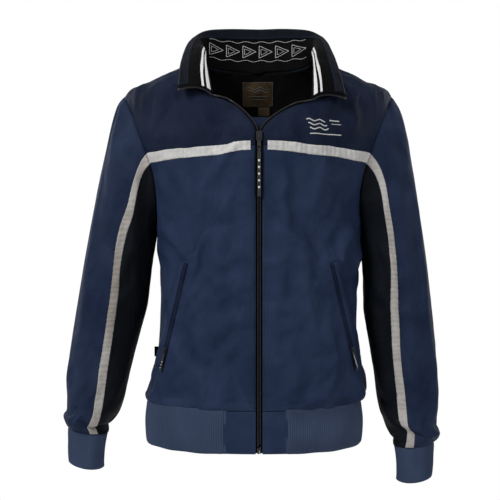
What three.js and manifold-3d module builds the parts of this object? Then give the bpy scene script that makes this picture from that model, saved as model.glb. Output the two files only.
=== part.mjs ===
// Foul weather jacket: a zipped blouson with a stand collar worn open, rib waistband and rib cuffs.
// Millimetres, +Z up, wearer's left is +X, the front faces -Y. The origin is the middle of the hanging
// loop, inside the back of the neck.
import * as THREE from 'three';
import { mergeVertices } from 'three/addons/utils/BufferGeometryUtils.js';
import Module from 'manifold-3d';

const wasm = await Module();
wasm.setup();

// ---------------------------------------------------------------- driving dimensions

// body
const backLength = 682;      // loop to hem
const ribDepth = 70;         // waistband, top to bottom
const neckHalf = 98;         // half-width of the neck at its side points
const neckZ = 8;             // the side points stand above the loop
const shoulderHalf = 238;    // half-width at the shoulder tips
const shoulderZ = -60;       // height of the shoulder tips
const chestHalf = 188;       // half-width at the armpits
const bloused = 10;          // how far the body stands out above the waistband, on each side
const bandHalf = 190;        // half-width of the waistband
const bandShift = 8;         // the waistband sits this far to the wearer's right
const frontY = -227;         // the closed front, a straight vertical line
const backY = 46;            // the fullest part of the back
const fullness = 2.3;        // exponent of the body's rounded sections: 2 is an ellipse

// armholes and sleeves
const armholeDepth = 115;    // half-height of an armhole
const armholeHalf = 65;      // half-width of an armhole, seen from the side
const sleeveHang = { R: 0, L: -2.5 };    // degrees each sleeve hangs in from the cut of the ring table
const sleeveDrop = { R: 0, L: 22 };      // how much lower each cuff hangs than in the ring table
const cuffDepth = 62;

// cloth
const shellCloth = 2;        // shell with its facing
const liningCloth = 1.2;
const ribCloth = 3.6;
const layerGap = 0.4;        // between two layers that lie on each other
const seamGap = 0.4;         // between two panels sewn edge to edge
const liningInset = 0.6;     // the linings stop this far short of their seams
const looseGap = 1;          // extra room under a piece that lies loosely on a curved layer

// chest and sleeve tapes
const tapeWidth = 15;
const tapeCloth = 1;
const chestTapeZ = -172;     // middle of the chest tape at the zip
const chestTapeStart = 14;   // from the centre line

// front zip
const zipTopZ = -149;        // where the closed rows of teeth part
const clothEdge = 5.5;       // the shell stops this far from the zip's middle line
const teethNear = 0.75;      // one row of teeth, from the middle line outwards
const teethFar = 3;
const teethDeep = [0.4, 3];  // behind the shell's face
const zipTapeFar = 13;       // the woven tape's hidden edge
const zipTapeCloth = 0.8;
const sliderLength = 15;
const sliderHalf = 5;
const pullTabLength = 20;
const pullerLength = 78;
const pullerHalf = 3;

// collar, worn open
const collarTop = 88;        // top edge above the loop, at the back
const neckEnd = { R: [76, -78], L: [87, -87] };      // where the neck seam meets the zip, x and z
const wingCorner = { R: [136, -73], L: [147, -88] }; // front corner of each collar wing, x and z
const wingY = -198;
const ribbonRise = [0.06, 0.36];    // the striped ribbon, as heights on the collar: 0 seam, 1 top edge

// pockets
const pocketTop = [121, -367];      // x and z of the upper end of a pocket opening
const pocketBottom = [165, -546];
const weltWidth = 14;
const weltCloth = 1.6;
const pocketTeethWidth = 4;
const pocketBagDepth = 120;

// small things
const tabWidth = { R: 60, L: 48 };  // the plain parts of the waistband, from the centre line
const labelSize = [62, 48];
const labelTop = -17;
const sizeLabel = [23, 17];
const flagLabel = [8, 1, 18];
const flapHalf = 28;
const flapTop = -122;

// ---------------------------------------------------------------- materials

const finish = (color, roughness, metalness = 0) =>
  new THREE.MeshStandardMaterial({ color, roughness, metalness, side: THREE.DoubleSide });
const navy = finish(0x232c40, 0.7);
const navyLight = finish(0x2d374b, 0.9);
const black = finish(0x101114, 0.8);
const pale = finish(0xbdbcbb, 0.6);
const brown = finish(0x4c3b2d, 0.8);
const plastic = finish(0x0c0c0e, 0.4);
const enamel = finish(0x141416, 0.35, 0.6);

const group = new THREE.Group();

function add(name, geometry, material, parent = group) {
  const mesh = new THREE.Mesh(geometry, material);
  mesh.name = name;
  parent.add(mesh);
  return mesh;
}

// ---------------------------------------------------------------- curves and solids

const lerp = THREE.MathUtils.lerp;
const clamp01 = (v) => THREE.MathUtils.clamp(v, 0, 1);
const ease = (v) => clamp01(v) ** 2 * (3 - 2 * clamp01(v));
const steps = (from, to, count) => Array.from({ length: count + 1 }, (_, i) => lerp(from, to, i / count));
const vec = (x, y, z) => new THREE.Vector3(x, y, z);

// A smooth curve through [position, value] pairs that never overshoots them.
function track(pairs) {
  const at = pairs.map((pair) => pair[0]);
  const value = pairs.map((pair) => pair[1]);
  const rise = at.slice(1).map((p, i) => (value[i + 1] - value[i]) / (p - at[i]));
  const slope = at.map((_, i) => {
    if (i === 0 || i === at.length - 1) return rise[Math.min(i, rise.length - 1)];
    return rise[i - 1] * rise[i] <= 0 ? 0 : 2 / (1 / rise[i - 1] + 1 / rise[i]);
  });
  return (position) => {
    const i = Math.max(0, Math.min(at.length - 2, at.findIndex((p) => p > position) - 1));
    const k = position >= at.at(-1) ? at.length - 2 : i;
    const span = at[k + 1] - at[k];
    const u = clamp01((position - at[k]) / span);
    return value[k] * (1 + 2 * u) * (1 - u) ** 2 + slope[k] * span * u * (1 - u) ** 2
      + value[k + 1] * u * u * (3 - 2 * u) + slope[k + 1] * span * u * u * (u - 1);
  };
}

// A closed solid between two copies of a grid of { p, n }, moved along the normals by near and far.
// Border points draw in by inset. A ring joins its last column to its first.
function cloth(grid, near, far, { ring = false, inset = seamGap / 2 } = {}) {
  const rows = grid.length;
  const columns = grid[0].length;
  const drawn = grid.map((row) => row.map(({ p }) => p.clone()));
  const draw = (i, j, k, l) => {
    drawn[i][j].lerp(grid[k][l].p, inset / grid[i][j].p.distanceTo(grid[k][l].p));
  };
  for (let j = 0; j < columns; j++) {
    draw(0, j, 1, j);
    draw(rows - 1, j, rows - 2, j);
  }
  for (let i = 0; i < rows && !ring; i++) {
    draw(i, 0, i, 1);
    draw(i, columns - 1, i, columns - 2);
  }
  const position = [];
  for (const offset of [far, near]) {
    grid.forEach((row, i) => row.forEach(({ n }, j) => {
      position.push(...drawn[i][j].clone().addScaledVector(n, offset).toArray());
    }));
  }
  const index = [];
  const quad = (a, b, c, d) => index.push(a, b, c, a, c, d);
  const under = rows * columns;
  const id = (i, j) => i * columns + (j % columns);
  const across = ring ? columns : columns - 1;
  for (let i = 0; i < rows - 1; i++) {
    for (let j = 0; j < across; j++) {
      quad(id(i, j), id(i, j + 1), id(i + 1, j + 1), id(i + 1, j));
      quad(under + id(i, j), under + id(i + 1, j), under + id(i + 1, j + 1), under + id(i, j + 1));
    }
    if (ring) continue;
    const last = columns - 1;
    quad(id(i, 0), id(i + 1, 0), under + id(i + 1, 0), under + id(i, 0));
    quad(id(i + 1, last), id(i, last), under + id(i, last), under + id(i + 1, last));
  }
  for (let j = 0; j < across; j++) {
    quad(id(0, j + 1), id(0, j), under + id(0, j), under + id(0, j + 1));
    const i = rows - 1;
    quad(id(i, j), id(i, j + 1), under + id(i, j + 1), under + id(i, j));
  }
  return outward(position, index);
}

// Turns a closed mesh the right way out.
function outward(position, index) {
  let volume = 0;
  const corner = (i) => new THREE.Vector3().fromArray(position, 3 * index[i]);
  for (let i = 0; i < index.length; i += 3) volume += corner(i).dot(corner(i + 1).cross(corner(i + 2)));
  const geometry = new THREE.BufferGeometry();
  geometry.setAttribute('position', new THREE.Float32BufferAttribute(position, 3));
  geometry.setIndex(volume < 0 ? index.slice().reverse() : index);
  return geometry;
}

function toSolid(geometry) {
  const bare = geometry.clone();
  bare.deleteAttribute('normal');
  bare.deleteAttribute('uv');
  const merged = mergeVertices(bare, 1e-4);
  return new wasm.Manifold(new wasm.Mesh({
    numProp: 3,
    vertProperties: new Float32Array(merged.attributes.position.array),
    triVerts: new Uint32Array(merged.index.array),
  }));
}

// One body out of several that touch or overlap.
function joined(...geometries) {
  const mesh = geometries.map(toSolid).reduce((whole, next) => whole.add(next)).getMesh();
  const geometry = new THREE.BufferGeometry();
  geometry.setAttribute('position', new THREE.Float32BufferAttribute(mesh.vertProperties, 3));
  geometry.setIndex([...mesh.triVerts]);
  return geometry;
}

// A box between two corners.
function box([x0, y0, z0], [x1, y1, z1]) {
  const geometry = new THREE.BoxGeometry(x1 - x0, y1 - y0, z1 - z0);
  return geometry.translate((x0 + x1) / 2, (y0 + y1) / 2, (z0 + z1) / 2);
}

// A strip along a list of { p, n, b }, from b0 to b1 across and n0 to n1 in depth; each may be a list.
function strip(frames, b0, b1, n0, n1) {
  const at = (value, i) => (Array.isArray(value) ? value[i] : value);
  const position = [];
  frames.forEach(({ p, n, b }, i) => {
    for (const [across, deep] of [[b0, n0], [b1, n0], [b1, n1], [b0, n1]]) {
      position.push(...p.clone().addScaledVector(b, at(across, i)).addScaledVector(n, at(deep, i)).toArray());
    }
  });
  const index = [0, 2, 1, 0, 3, 2];
  for (let i = 0; i < frames.length - 1; i++) {
    for (let j = 0; j < 4; j++) {
      const a = 4 * i + j;
      const c = 4 * i + ((j + 1) % 4);
      index.push(a, c, c + 4, a, c + 4, a + 4);
    }
  }
  const end = 4 * (frames.length - 1);
  index.push(end, end + 1, end + 2, end, end + 2, end + 3);
  return outward(position, index);
}

// ---------------------------------------------------------------- the body's surface

const hemZ = -backLength;
const waistZ = hemZ + ribDepth;
const armholeZ = shoulderZ - 1 - armholeDepth;
const armpitZ = armholeZ - armholeDepth;
const sideSign = { R: -1, L: 1 };

// Each level of the body: [z, half-width, front y, back y]. The shoulders run straight from neck to tip.
const levels = [
  [hemZ, bandHalf + 1, frontY, 9],
  [hemZ + ribDepth / 2, bandHalf + 2, frontY, 12],
  [waistZ, bandHalf, frontY, 13],
  [waistZ + 8, chestHalf + bloused - 2, frontY, 33],
  [waistZ + 24, chestHalf + bloused, frontY, 43],
  [waistZ + 60, chestHalf + bloused - 2, frontY, 46],
  [lerp(waistZ, armpitZ, 0.45), chestHalf + 4, frontY, backY],
  [armpitZ, chestHalf, frontY, backY - 6],
  [armpitZ + 43, chestHalf + 4, frontY, backY - 10],
  [armpitZ + 85, chestHalf + 15, frontY, backY - 15],
  [armpitZ + 130, shoulderHalf - 15, frontY, backY - 20],
  [zipTopZ + 2, shoulderHalf - 10, frontY, backY - 21],
  [shoulderZ - 57, shoulderHalf - 1, frontY + 13, backY - 23],
  [shoulderZ - 12, shoulderHalf + 3, frontY + 34, backY - 27],
  ...steps(1, 0, 4).map((f) => [
    lerp(neckZ, shoulderZ, f),
    lerp(neckHalf, shoulderHalf, f),
    lerp(frontY + 80, frontY + 41, f),
    lerp(7, backY - 29, f),
  ]),
];
const halfAt = track(levels.map((level) => [level[0], level[1]]));
const frontAt = track(levels.map((level) => [level[0], level[2]]));
const backAt = track(levels.map((level) => [level[0], level[3]]));
const shiftAt = track([[hemZ, bandShift], [waistZ, bandShift], [waistZ + 24, 2], [armpitZ, 0], [neckZ, 0]]);

function section(side, z) {
  return {
    half: halfAt(z) - sideSign[side] * shiftAt(z),
    middle: (frontAt(z) + backAt(z)) / 2,
    deep: (backAt(z) - frontAt(z)) / 2,
  };
}

// A point of the body: turn is 0 at the side and a quarter turn at the centre, face is -1 front, 1 back.
function bodyPoint(side, face, turn, z) {
  const { half, middle, deep } = section(side, z);
  const power = 2 / fullness;
  const x = half * Math.max(0, Math.cos(turn)) ** power;
  return vec(sideSign[side] * x, middle + face * deep * Math.max(0, Math.sin(turn)) ** power, z);
}

function bodyNormal(side, p) {
  const inside = (x, y, z) => {
    const { half, middle, deep } = section(side, z);
    return Math.abs(x / half) ** fullness + Math.abs((y - middle) / deep) ** fullness;
  };
  const h = 0.05;
  return vec(
    inside(p.x + h, p.y, p.z) - inside(p.x - h, p.y, p.z),
    inside(p.x, p.y + h, p.z) - inside(p.x, p.y - h, p.z),
    inside(p.x, p.y, p.z + h) - inside(p.x, p.y, p.z - h),
  ).normalize();
}

const bodyFrame = (side, face, turn, z) => {
  const p = bodyPoint(side, face, turn, z);
  return { p, n: bodyNormal(side, p) };
};

const turnAtX = (side, x, z) => Math.acos(clamp01(Math.abs(x) / section(side, z).half) ** (fullness / 2));

// ---------------------------------------------------------------- armholes

const quarter = Math.PI / 2;
const degrees = THREE.MathUtils.degToRad;
const tapeTurn = tapeWidth / 2 / armholeDepth;    // half the sleeve tape, as an angle round the armhole

// The armhole seam at an angle: 0 shoulder tip, a quarter turn front, a half turn armpit.
function armhole(side, angle) {
  const z = armholeZ + armholeDepth * Math.cos(angle);
  const share = (armholeHalf * Math.abs(Math.sin(angle))) / section(side, z).deep;
  return { turn: Math.asin(clamp01(share) ** (fullness / 2)), z, face: Math.sin(angle) >= 0 ? -1 : 1 };
}

// Angles of the seam's corners, the same for the body and the sleeves, so that they meet.
const frontLow = steps(Math.PI, quarter + tapeTurn, 4);
const frontHigh = steps(quarter - tapeTurn, 0, 10);
const backLow = steps(Math.PI, degrees(250), 3);
const backHigh = steps(degrees(250), 2 * Math.PI, 6);
const sideLevels = [waistZ, waistZ + 8, waistZ + 24, waistZ + 60, ...steps(lerp(waistZ, armpitZ, 0.35), armpitZ, 3)];

// ---------------------------------------------------------------- the front edges

// The zip's middle line above the slider: a curve in the front view that opens to the neck seam's end.
function openEdge(side, r) {
  const [endX, endZ] = neckEnd[side];
  const curve = new THREE.CubicBezierCurve(
    new THREE.Vector2(0, zipTopZ),
    new THREE.Vector2(0, zipTopZ + 16),
    new THREE.Vector2(endX * 0.42, endZ - 14),
    new THREE.Vector2(endX, endZ),
  );
  const point = curve.getPoint(r);
  const along = curve.getTangent(r);
  return { point, away: new THREE.Vector2(along.y, -along.x) };
}

// The edge of a front panel at a distance from the zip's middle line, as turn and z.
function panelEdge(side, r, distance) {
  const { point, away } = openEdge(side, r);
  const [x, z] = [point.x + away.x * distance, point.y + away.y * distance];
  return { turn: turnAtX(side, x, z), z };
}

// The neck seam from the zip (0) to the side of the neck (1).
function frontNeck(side, f, distance) {
  const { point, away } = openEdge(side, 1);
  const [x, z] = [point.x + away.x * distance, point.y + away.y * distance];
  const level = lerp(z, neckZ, f);
  return { turn: turnAtX(side, lerp(x, neckHalf, f), level), z: level };
}

// Rows of a front panel, from waist to shoulder: each has its inner end and its outer end.
function frontRows(side, distance) {
  const straight = (z) => ({ turn: turnAtX(side, distance, z), z });
  const half = tapeWidth / 2;
  const rows = sideLevels.map((z) => [straight(z), { turn: 0, z }]);
  const low = steps(armpitZ, chestTapeZ - half, frontLow.length - 1);
  frontLow.slice(1).forEach((angle, i) => rows.push([straight(low[i + 1]), armhole(side, angle)]));
  rows.push([straight(chestTapeZ), armhole(side, quarter)]);
  const inner = [
    straight(chestTapeZ + half),
    ...steps(0, 1, 4).map((r) => panelEdge(side, r, distance)),
    ...steps(0.2, 1, 4).map((f) => frontNeck(side, f, distance)),
  ];
  inner.push({ turn: 0, z: neckZ });
  frontHigh.forEach((angle, i) => rows.push([inner[i], armhole(side, angle)]));
  return rows;
}

const frontColumns = [0, 0.03, 0.14, 0.28, 0.42, 0.58, 0.76, 1];
const seamRow = sideLevels.length + frontLow.length - 1;    // the row under the middle of the chest tape

function frontGrid(side, distance, firstRow, lastRow, columns = frontColumns) {
  return frontRows(side, distance).slice(firstRow, lastRow).map(([inner, outer]) =>
    columns.map((s) => bodyFrame(side, -1, lerp(inner.turn, outer.turn, s), lerp(inner.z, outer.z, s))));
}

// ---------------------------------------------------------------- the back

const neckShare = 0.45;      // share of the top edge of a half back that is neck seam
const backNeckZ = (turn) => neckZ * (1 - Math.sin(turn));
const backColumns = [...steps(0, neckShare, 4), ...steps(neckShare, 1, 3).slice(1)];
const backAngles = [...backLow.slice(1), ...backHigh.slice(1)];
const yokeRow = sideLevels.length + 5;

function halfBack(side) {
  const rows = sideLevels.map((z) => [z, { turn: 0, z }, 0]);
  backAngles.forEach((angle, i) => {
    const rise = (i + 1) / backAngles.length;
    rows.push([lerp(armpitZ, 0, rise), armhole(side, angle), rise ** 2]);
  });
  return rows.map(([middleZ, outer, lift]) => backColumns.map((s) => {
    const turn = lerp(quarter, outer.turn, s);
    const z = lerp(middleZ, outer.z, s);
    const topTurn = s < neckShare ? lerp(quarter, 0, s / neckShare) : 0;
    const topZ = s < neckShare ? backNeckZ(topTurn) : lerp(neckZ, shoulderZ - 1, (s - neckShare) / (1 - neckShare));
    const turnLift = topTurn - lerp(quarter, 0, s);
    const zLift = topZ - lerp(0, shoulderZ - 1, s);
    return bodyFrame(side, 1, turn + lift * turnLift, z + lift * zLift);
  }));
}

const backRight = halfBack('R');
const backLeft = halfBack('L');
const backGrid = (firstRow, lastRow) => backRight.slice(firstRow, lastRow).map((row, i) =>
  [...row.slice().reverse(), ...backLeft[firstRow + i].slice(1)]);

function makeBody() {
  const inner = -shellCloth - layerGap;
  for (const side of ['R', 'L']) {
    add(`${side}_front_lower`, cloth(frontGrid(side, clothEdge, 0, seamRow + 1), -shellCloth, 0), navy);
    add(`${side}_front_upper`, cloth(frontGrid(side, clothEdge, seamRow), -shellCloth, 0), navy);
    const lining = frontGrid(side, clothEdge, 0, undefined, frontColumns.slice(1));
    add(`${side}_front_lining`, cloth(lining, inner - liningCloth, inner, { inset: liningInset }), black);
    const tape = frontGrid(side, chestTapeStart, seamRow - 1, seamRow + 2);
    add(`${side}_chest_tape`, cloth(tape, layerGap, layerGap + tapeCloth, { inset: 1.3 }), pale);
  }
  add('back_panel', cloth(backGrid(0, yokeRow + 1), -shellCloth, 0), navy);
  add('back_yoke', cloth(backGrid(yokeRow), -shellCloth, 0), navy);
  add('back_lining', cloth(backGrid(0), inner - liningCloth, inner, { inset: liningInset }), black);
}

// ---------------------------------------------------------------- waistband

const bandLevels = [hemZ, hemZ + ribDepth / 2, waistZ];

function makeWaistband() {
  const ribTurns = {};
  for (const side of ['R', 'L']) {
    const tabTurn = turnAtX(side, tabWidth[side], waistZ);
    const edgeTurn = turnAtX(side, clothEdge, waistZ);
    ribTurns[side] = tabTurn;
    const grid = bandLevels.map((z) => steps(edgeTurn, tabTurn, 4).map((turn) => bodyFrame(side, -1, turn, z)));
    add(`${side}_waist_tab`, cloth(grid, -shellCloth, 0), navy);
  }
  const halfRing = (side, z) => [
    ...steps(ribTurns[side], 0, 8).map((turn) => bodyFrame(side, -1, turn, z)),
    ...steps(0, quarter, 10).slice(1).map((turn) => bodyFrame(side, 1, turn, z)),
  ];
  const grid = bandLevels.map((z) => [...halfRing('R', z), ...halfRing('L', z).reverse().slice(1)]);
  grid.forEach((row) => row.forEach((frame) => frame.n.setZ(0).normalize()));
  add('waist_rib', cloth(grid, -ribCloth, 0), navyLight);
}

// ---------------------------------------------------------------- sleeves

// Rings of a sleeve: the outer line's x and z, the inner line's x and z, half-depth, middle y.
const sleeveRings = [
  [shoulderHalf, shoulderZ - 1, chestHalf, armpitZ, armholeHalf, -98],
  [shoulderHalf + 20, shoulderZ - 13, chestHalf + 1, armpitZ - 9, 66, -98],
  [shoulderHalf + 34, shoulderZ - 43, chestHalf + 4, armpitZ - 21, 68, -99],
  [shoulderHalf + 46, shoulderZ - 85, chestHalf + 7, armpitZ - 39, 70, -99],
  [297, -203, 198, -353, 72, -100],
  [311, -270, 202, -388, 71, -101],
  [326, -352, 206, -428, 68, -103],
  [340, -450, 218, -476, 64, -106],
  [350, -530, 235, -549, 59, -109],
  [356, -598, 247, -615, 54, -112],
  [356, -636, 258, -650, 45, -114],
  [341, -660, 268, -671, 34, -115],
];
const cuffRings = [
  [341, -660.2, 269, -671.2, 33, -115],
  [338, -690, 274, -700, 30, -116],
  [338, -660 - cuffDepth, 277, -671 - cuffDepth, 29, -117],
];
const sleeveEnd = sleeveRings.length - 1;
const backSeamAngle = degrees(250);

// Where the tape runs on each sleeve, in degrees round it, ring by ring from the armhole.
const tapeAngles = {
  R: track([[0, 90], [3, 104], [5, 97], [6.5, 101], [sleeveEnd, 116]]),
  L: track([[0, 90], [3, 102], [5, 101], [6.5, 106], [8, 112], [sleeveEnd, 112]]),
};

function ringTracks(rings) {
  return rings[0].map((_, item) => track(rings.map((ring, i) => [i, ring[item]])));
}

// A function of angle and ring position that gives a point of the tube.
function tube(side, rings) {
  const [outX, outZ, inX, inZ, deep, middle] = ringTracks(rings);
  const hang = degrees(sleeveHang[side]);
  const pivot = vec(shoulderHalf, 0, shoulderZ);
  return (angle, w, progress) => {
    const cos = Math.cos(angle);
    const p = vec(
      lerp(inX(w), outX(w), (1 + cos) / 2),
      middle(w) - deep(w) * Math.sin(angle),
      lerp(inZ(w), outZ(w), (1 + cos) / 2),
    );
    const swing = hang * ease(progress * 1.2);
    const [dx, dz] = [p.x - pivot.x, p.z - pivot.z];
    p.x = pivot.x + dx * Math.cos(swing) - dz * Math.sin(swing);
    p.z = pivot.z + dx * Math.sin(swing) + dz * Math.cos(swing) - sleeveDrop[side] * progress;
    p.x *= sideSign[side];
    return p;
  };
}

function sleevePoint(side) {
  const plain = tube(side, sleeveRings);
  return (angle, w) => {
    const p = plain(angle, w, w / sleeveEnd);
    const { turn, z, face } = armhole(side, angle);
    const fade = clamp01(1 - w / 3) ** 2;
    const seam = bodyPoint(side, face, turn, z);
    return p.addScaledVector(seam.sub(plain(angle, 0, 0)), fade);
  };
}

function sleeveFrame(side, point, angle, w) {
  const h = 0.01;
  const p = point(angle, w);
  const round = point(angle + h, w).sub(point(angle - h, w));
  const along = point(angle, Math.min(w + h, sleeveEnd)).sub(point(angle, Math.max(w - h, 0)));
  return { p, n: round.cross(along).multiplyScalar(sideSign[side]).normalize() };
}

const sleeveLevels = [0, 1, 2, 3, 4.5, 6, 7.5, 8.6, 9.4, 10.2, sleeveEnd];

// Columns of a sleeve at one level. They keep the outer and inner lines, and make room for the tape.
function sleeveColumns(side, w) {
  const tape = degrees(tapeAngles[side](w));
  const ring = w / sleeveEnd;
  const half = tapeWidth / 2 / lerp(armholeDepth, ringTracks(sleeveRings)[4](w) * 1.02, ease(ring * 2.5));
  const stretch = (angles, from, to) => angles.map((angle) =>
    lerp(from, to, (angle - angles[0]) / (angles.at(-1) - angles[0])));
  return {
    over: [
      tape,
      ...stretch(frontHigh, tape - half, 0),
      ...stretch(backHigh, backSeamAngle, 2 * Math.PI).reverse().slice(1).map((angle) => angle - 2 * Math.PI),
    ],
    under: [
      ...stretch(backLow, Math.PI, backSeamAngle).reverse(),
      ...stretch(frontLow, Math.PI, tape + half).slice(1),
      tape,
    ].map((angle) => angle - 2 * Math.PI),
    tape: [tape + half, tape, tape - half],
  };
}

function makeSleeve(side) {
  const point = sleevePoint(side);
  const grid = (part) => sleeveLevels.map((w) =>
    sleeveColumns(side, w)[part].map((angle) => sleeveFrame(side, point, angle, w)));
  add(`${side}_sleeve_over`, cloth(grid('over'), -shellCloth, 0), navy);
  add(`${side}_sleeve_under`, cloth(grid('under'), -shellCloth, 0), navy);
  add(`${side}_sleeve_tape`, cloth(grid('tape'), layerGap, layerGap + tapeCloth), pale);
  const all = sleeveLevels.map((w) => {
    const { over, under } = sleeveColumns(side, w);
    return [...over.slice(0, -1), ...under.slice(0, -1)].map((angle) => sleeveFrame(side, point, angle, w));
  });
  const inner = -shellCloth - layerGap;
  add(`${side}_sleeve_lining`, cloth(all, inner - liningCloth, inner,
    { ring: true, inset: liningInset }), black);
}

function makeCuff(side) {
  const plain = tube(side, cuffRings);
  const levelsOfCuff = [0, 0.5, 1, 2];
  const grid = levelsOfCuff.map((w) => steps(0, 2 * Math.PI, 20).slice(0, -1).map((angle) => {
    const p = plain(angle, w, 1);
    const n = plain(angle, w, 1).sub(plain(angle + Math.PI, w, 1)).normalize();
    return { p, n };
  }));
  add(`${side}_cuff`, cloth(grid, -ribCloth, 0, { ring: true }), navyLight);
}

// ---------------------------------------------------------------- collar

// The neck seam as a list of body points from the centre back to the zip.
function neckSeam(side) {
  const back = backColumns.slice(0, 5).map((s) => {
    const turn = lerp(quarter, 0, s / neckShare);
    return bodyPoint(side, 1, turn, backNeckZ(turn));
  });
  const front = steps(1, 0, 5).slice(1).map((f) => {
    const { turn, z } = frontNeck(side, f, clothEdge);
    return bodyPoint(side, -1, turn, z);
  });
  return [...back, ...front];
}

// The free edge of the collar from the centre back to the front corner.
function collarEdge(side) {
  const sign = sideSign[side];
  const [cornerX, cornerZ] = wingCorner[side];
  return new THREE.CatmullRomCurve3([
    vec(0, 21, collarTop),
    vec(62 * sign, 15, collarTop - 1),
    vec(103 * sign, -10, collarTop - 12),
    vec(126 * sign, -52, collarTop - 42),
    vec(134 * sign, -100, collarTop - 76),
    vec(lerp(137, cornerX, 0.4) * sign, -157, lerp(collarTop - 120, cornerZ + 40, 0.4)),
    vec(cornerX * sign, wingY, cornerZ),
  ], false, 'centripetal');
}

// Rows of the collar from seam to edge, rolling outwards towards the front.
function collarPoint(side) {
  const seam = neckSeam(side);
  const edge = collarEdge(side);
  const last = seam.length - 1;
  const seamCurve = new THREE.CatmullRomCurve3(seam, false, 'centripetal');
  return (f, h) => {
    const foot = Number.isInteger(Math.round(f * last * 1e6) / 1e6) ? seam[Math.round(f * last)]
      : seamCurve.getPoint(f);
    const top = edge.getPoint(f);
    const roll = ease((f - 0.2) / 0.4);
    const middle = foot.clone().lerp(top, 0.5).add(vec(-13 * sideSign[side] * roll, -8 * roll, 16 * roll));
    return new THREE.QuadraticBezierCurve3(foot, middle, top).getPoint(h);
  };
}

function collarFrame(side, point, f, h) {
  const d = 0.01;
  const p = point(f, h);
  const [f0, f1] = [Math.max(f - d, 0), Math.min(f + d, 1)];
  const along = point(f1, h).sub(point(f0, h));
  const up = point(f, Math.min(h + d, 1)).sub(point(f, Math.max(h - d, 0)));
  const n = up.cross(along).multiplyScalar(sideSign[side]);
  if (f === 0) n.setX(0);
  return { p, n: n.normalize() };
}

const collarRise = [0.025, ribbonRise[0], ribbonRise[1], 0.52, 0.68, 0.84, 1];

function makeCollar() {
  const points = { R: collarPoint('R'), L: collarPoint('L') };
  const columns = steps(0, 1, 9);
  const rows = (rise) => rise.map((h) => [
    ...columns.slice().reverse().map((f) => collarFrame('R', points.R, f, h)),
    ...columns.slice(1).map((f) => collarFrame('L', points.L, f, h)),
  ]);
  const faceCloth = shellCloth - layerGap;
  const inside = -faceCloth / 2 - layerGap;
  add('collar_outer', cloth(rows(collarRise), -faceCloth / 2, faceCloth / 2), navy);
  add('collar_lining', cloth(rows(collarRise), inside - liningCloth, inside), black);
  const inner = inside - liningCloth - layerGap;
  for (const side of ['R', 'L']) {
    const across = side === 'R' ? columns.slice(5).reverse() : columns.slice(5);
    const grid = ribbonRise.map((h) => across.map((f) => collarFrame(side, points[side], f, h)));
    add(`${side}_collar_ribbon`, cloth(grid, inner - 0.8, inner), black);
  }
  return points;
}

// ---------------------------------------------------------------- front zip

const zipBottomZ = hemZ + 12;

// Frames along a side's zip edge, from the hem to the collar corner: b points into the cloth.
function zipFrames(side, collar) {
  const sign = sideSign[side];
  const middle = (r) => {
    const { point, away } = openEdge(side, r);
    const at = (distance) => {
      const [x, z] = [point.x + away.x * distance, point.y + away.y * distance];
      return bodyPoint(side, -1, turnAtX(side, x, z), z);
    };
    const p = at(clothEdge);
    const b = at(clothEdge + 1).sub(at(clothEdge - 1)).normalize();
    b.lerp(vec(0, 1, 0.3), 0.8 * ease((r - 0.6) / 0.4)).normalize();
    return { p, b, n: bodyNormal(side, p) };
  };
  const straight = [zipBottomZ, zipTopZ].map((z) => ({
    p: vec(clothEdge * sign, frontY, z), b: vec(sign, 0, 0), n: vec(0, -1, 0),
  }));
  const open = steps(0, 1, 4).slice(1).map(middle);
  const wing = steps(0.15, 0.97, 5).map((h) => {
    const p = collar(1, h);
    const b = collar(0.96, h).sub(p).normalize();
    return { p, b, n: collarFrame(side, collar, 1, h).n };
  });
  const frames = [...straight, ...open, ...wing];
  frames.forEach((frame, i) => {
    if (i < straight.length) return;
    const before = frames[i - 1].p;
    const after = frames[Math.min(i + 1, frames.length - 1)].p;
    const along = after.clone().sub(before).normalize();
    frame.b.addScaledVector(along, -frame.b.dot(along)).normalize();
    const n = along.cross(frame.b);
    frame.n = n.dot(frame.n) < 0 ? n.negate() : n;
  });
  return { frames, straightCount: straight.length, openCount: open.length };
}

function makeZip(collars) {
  for (const side of ['R', 'L']) {
    const { frames, straightCount, openCount } = zipFrames(side, collars[side]);
    const [near, far] = [teethNear - clothEdge, teethFar - clothEdge];
    const turned = (i) => clamp01((i - straightCount - 1) / (openCount - 2));
    const teethHalf = (teethDeep[1] - teethDeep[0]) / 2;
    const behind = frames.map((_, i) => lerp(-teethDeep[1], -teethHalf, turned(i)));
    const before = frames.map((_, i) => lerp(-teethDeep[0], teethHalf, turned(i)));
    add(`${side}_zip_teeth`, strip(frames, near, far, behind, before), plastic);
    const hidden = frames.map((_, i) =>
      (i < straightCount ? zipTapeFar - clothEdge : lerp(3, -layerGap, clamp01(2 * turned(i)))));
    const deep = frames.map((_, i) =>
      lerp(-shellCloth - (i < straightCount ? layerGap : looseGap * 1.3), -layerGap, turned(i)));
    add(`${side}_zip_tape`, strip(frames, far + layerGap + 0.1, hidden, deep.map((d) => d - zipTapeCloth), deep), black);
    const stop = frames.at(-1);
    const next = frames.at(-2);
    const along = stop.p.clone().sub(next.p).normalize();
    const ends = [0.4, 3].map((d) => ({ ...stop, p: stop.p.clone().addScaledVector(along, d) }));
    add(`${side}_top_stop`, strip(ends, near, far, -1.6, 1), enamel);
  }
  const pinTop = zipBottomZ - 0.3;
  const [front, behind] = [frontY + teethDeep[0], frontY + teethDeep[1]];
  add('insertion_pin', box([teethNear, front, hemZ + 1], [teethFar, behind, pinTop]), enamel);
  add('retainer_box', box([-teethFar, front - 0.6, hemZ + 0.6], [teethNear - 0.35, behind, pinTop - 1.5]), enamel);
}

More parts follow.
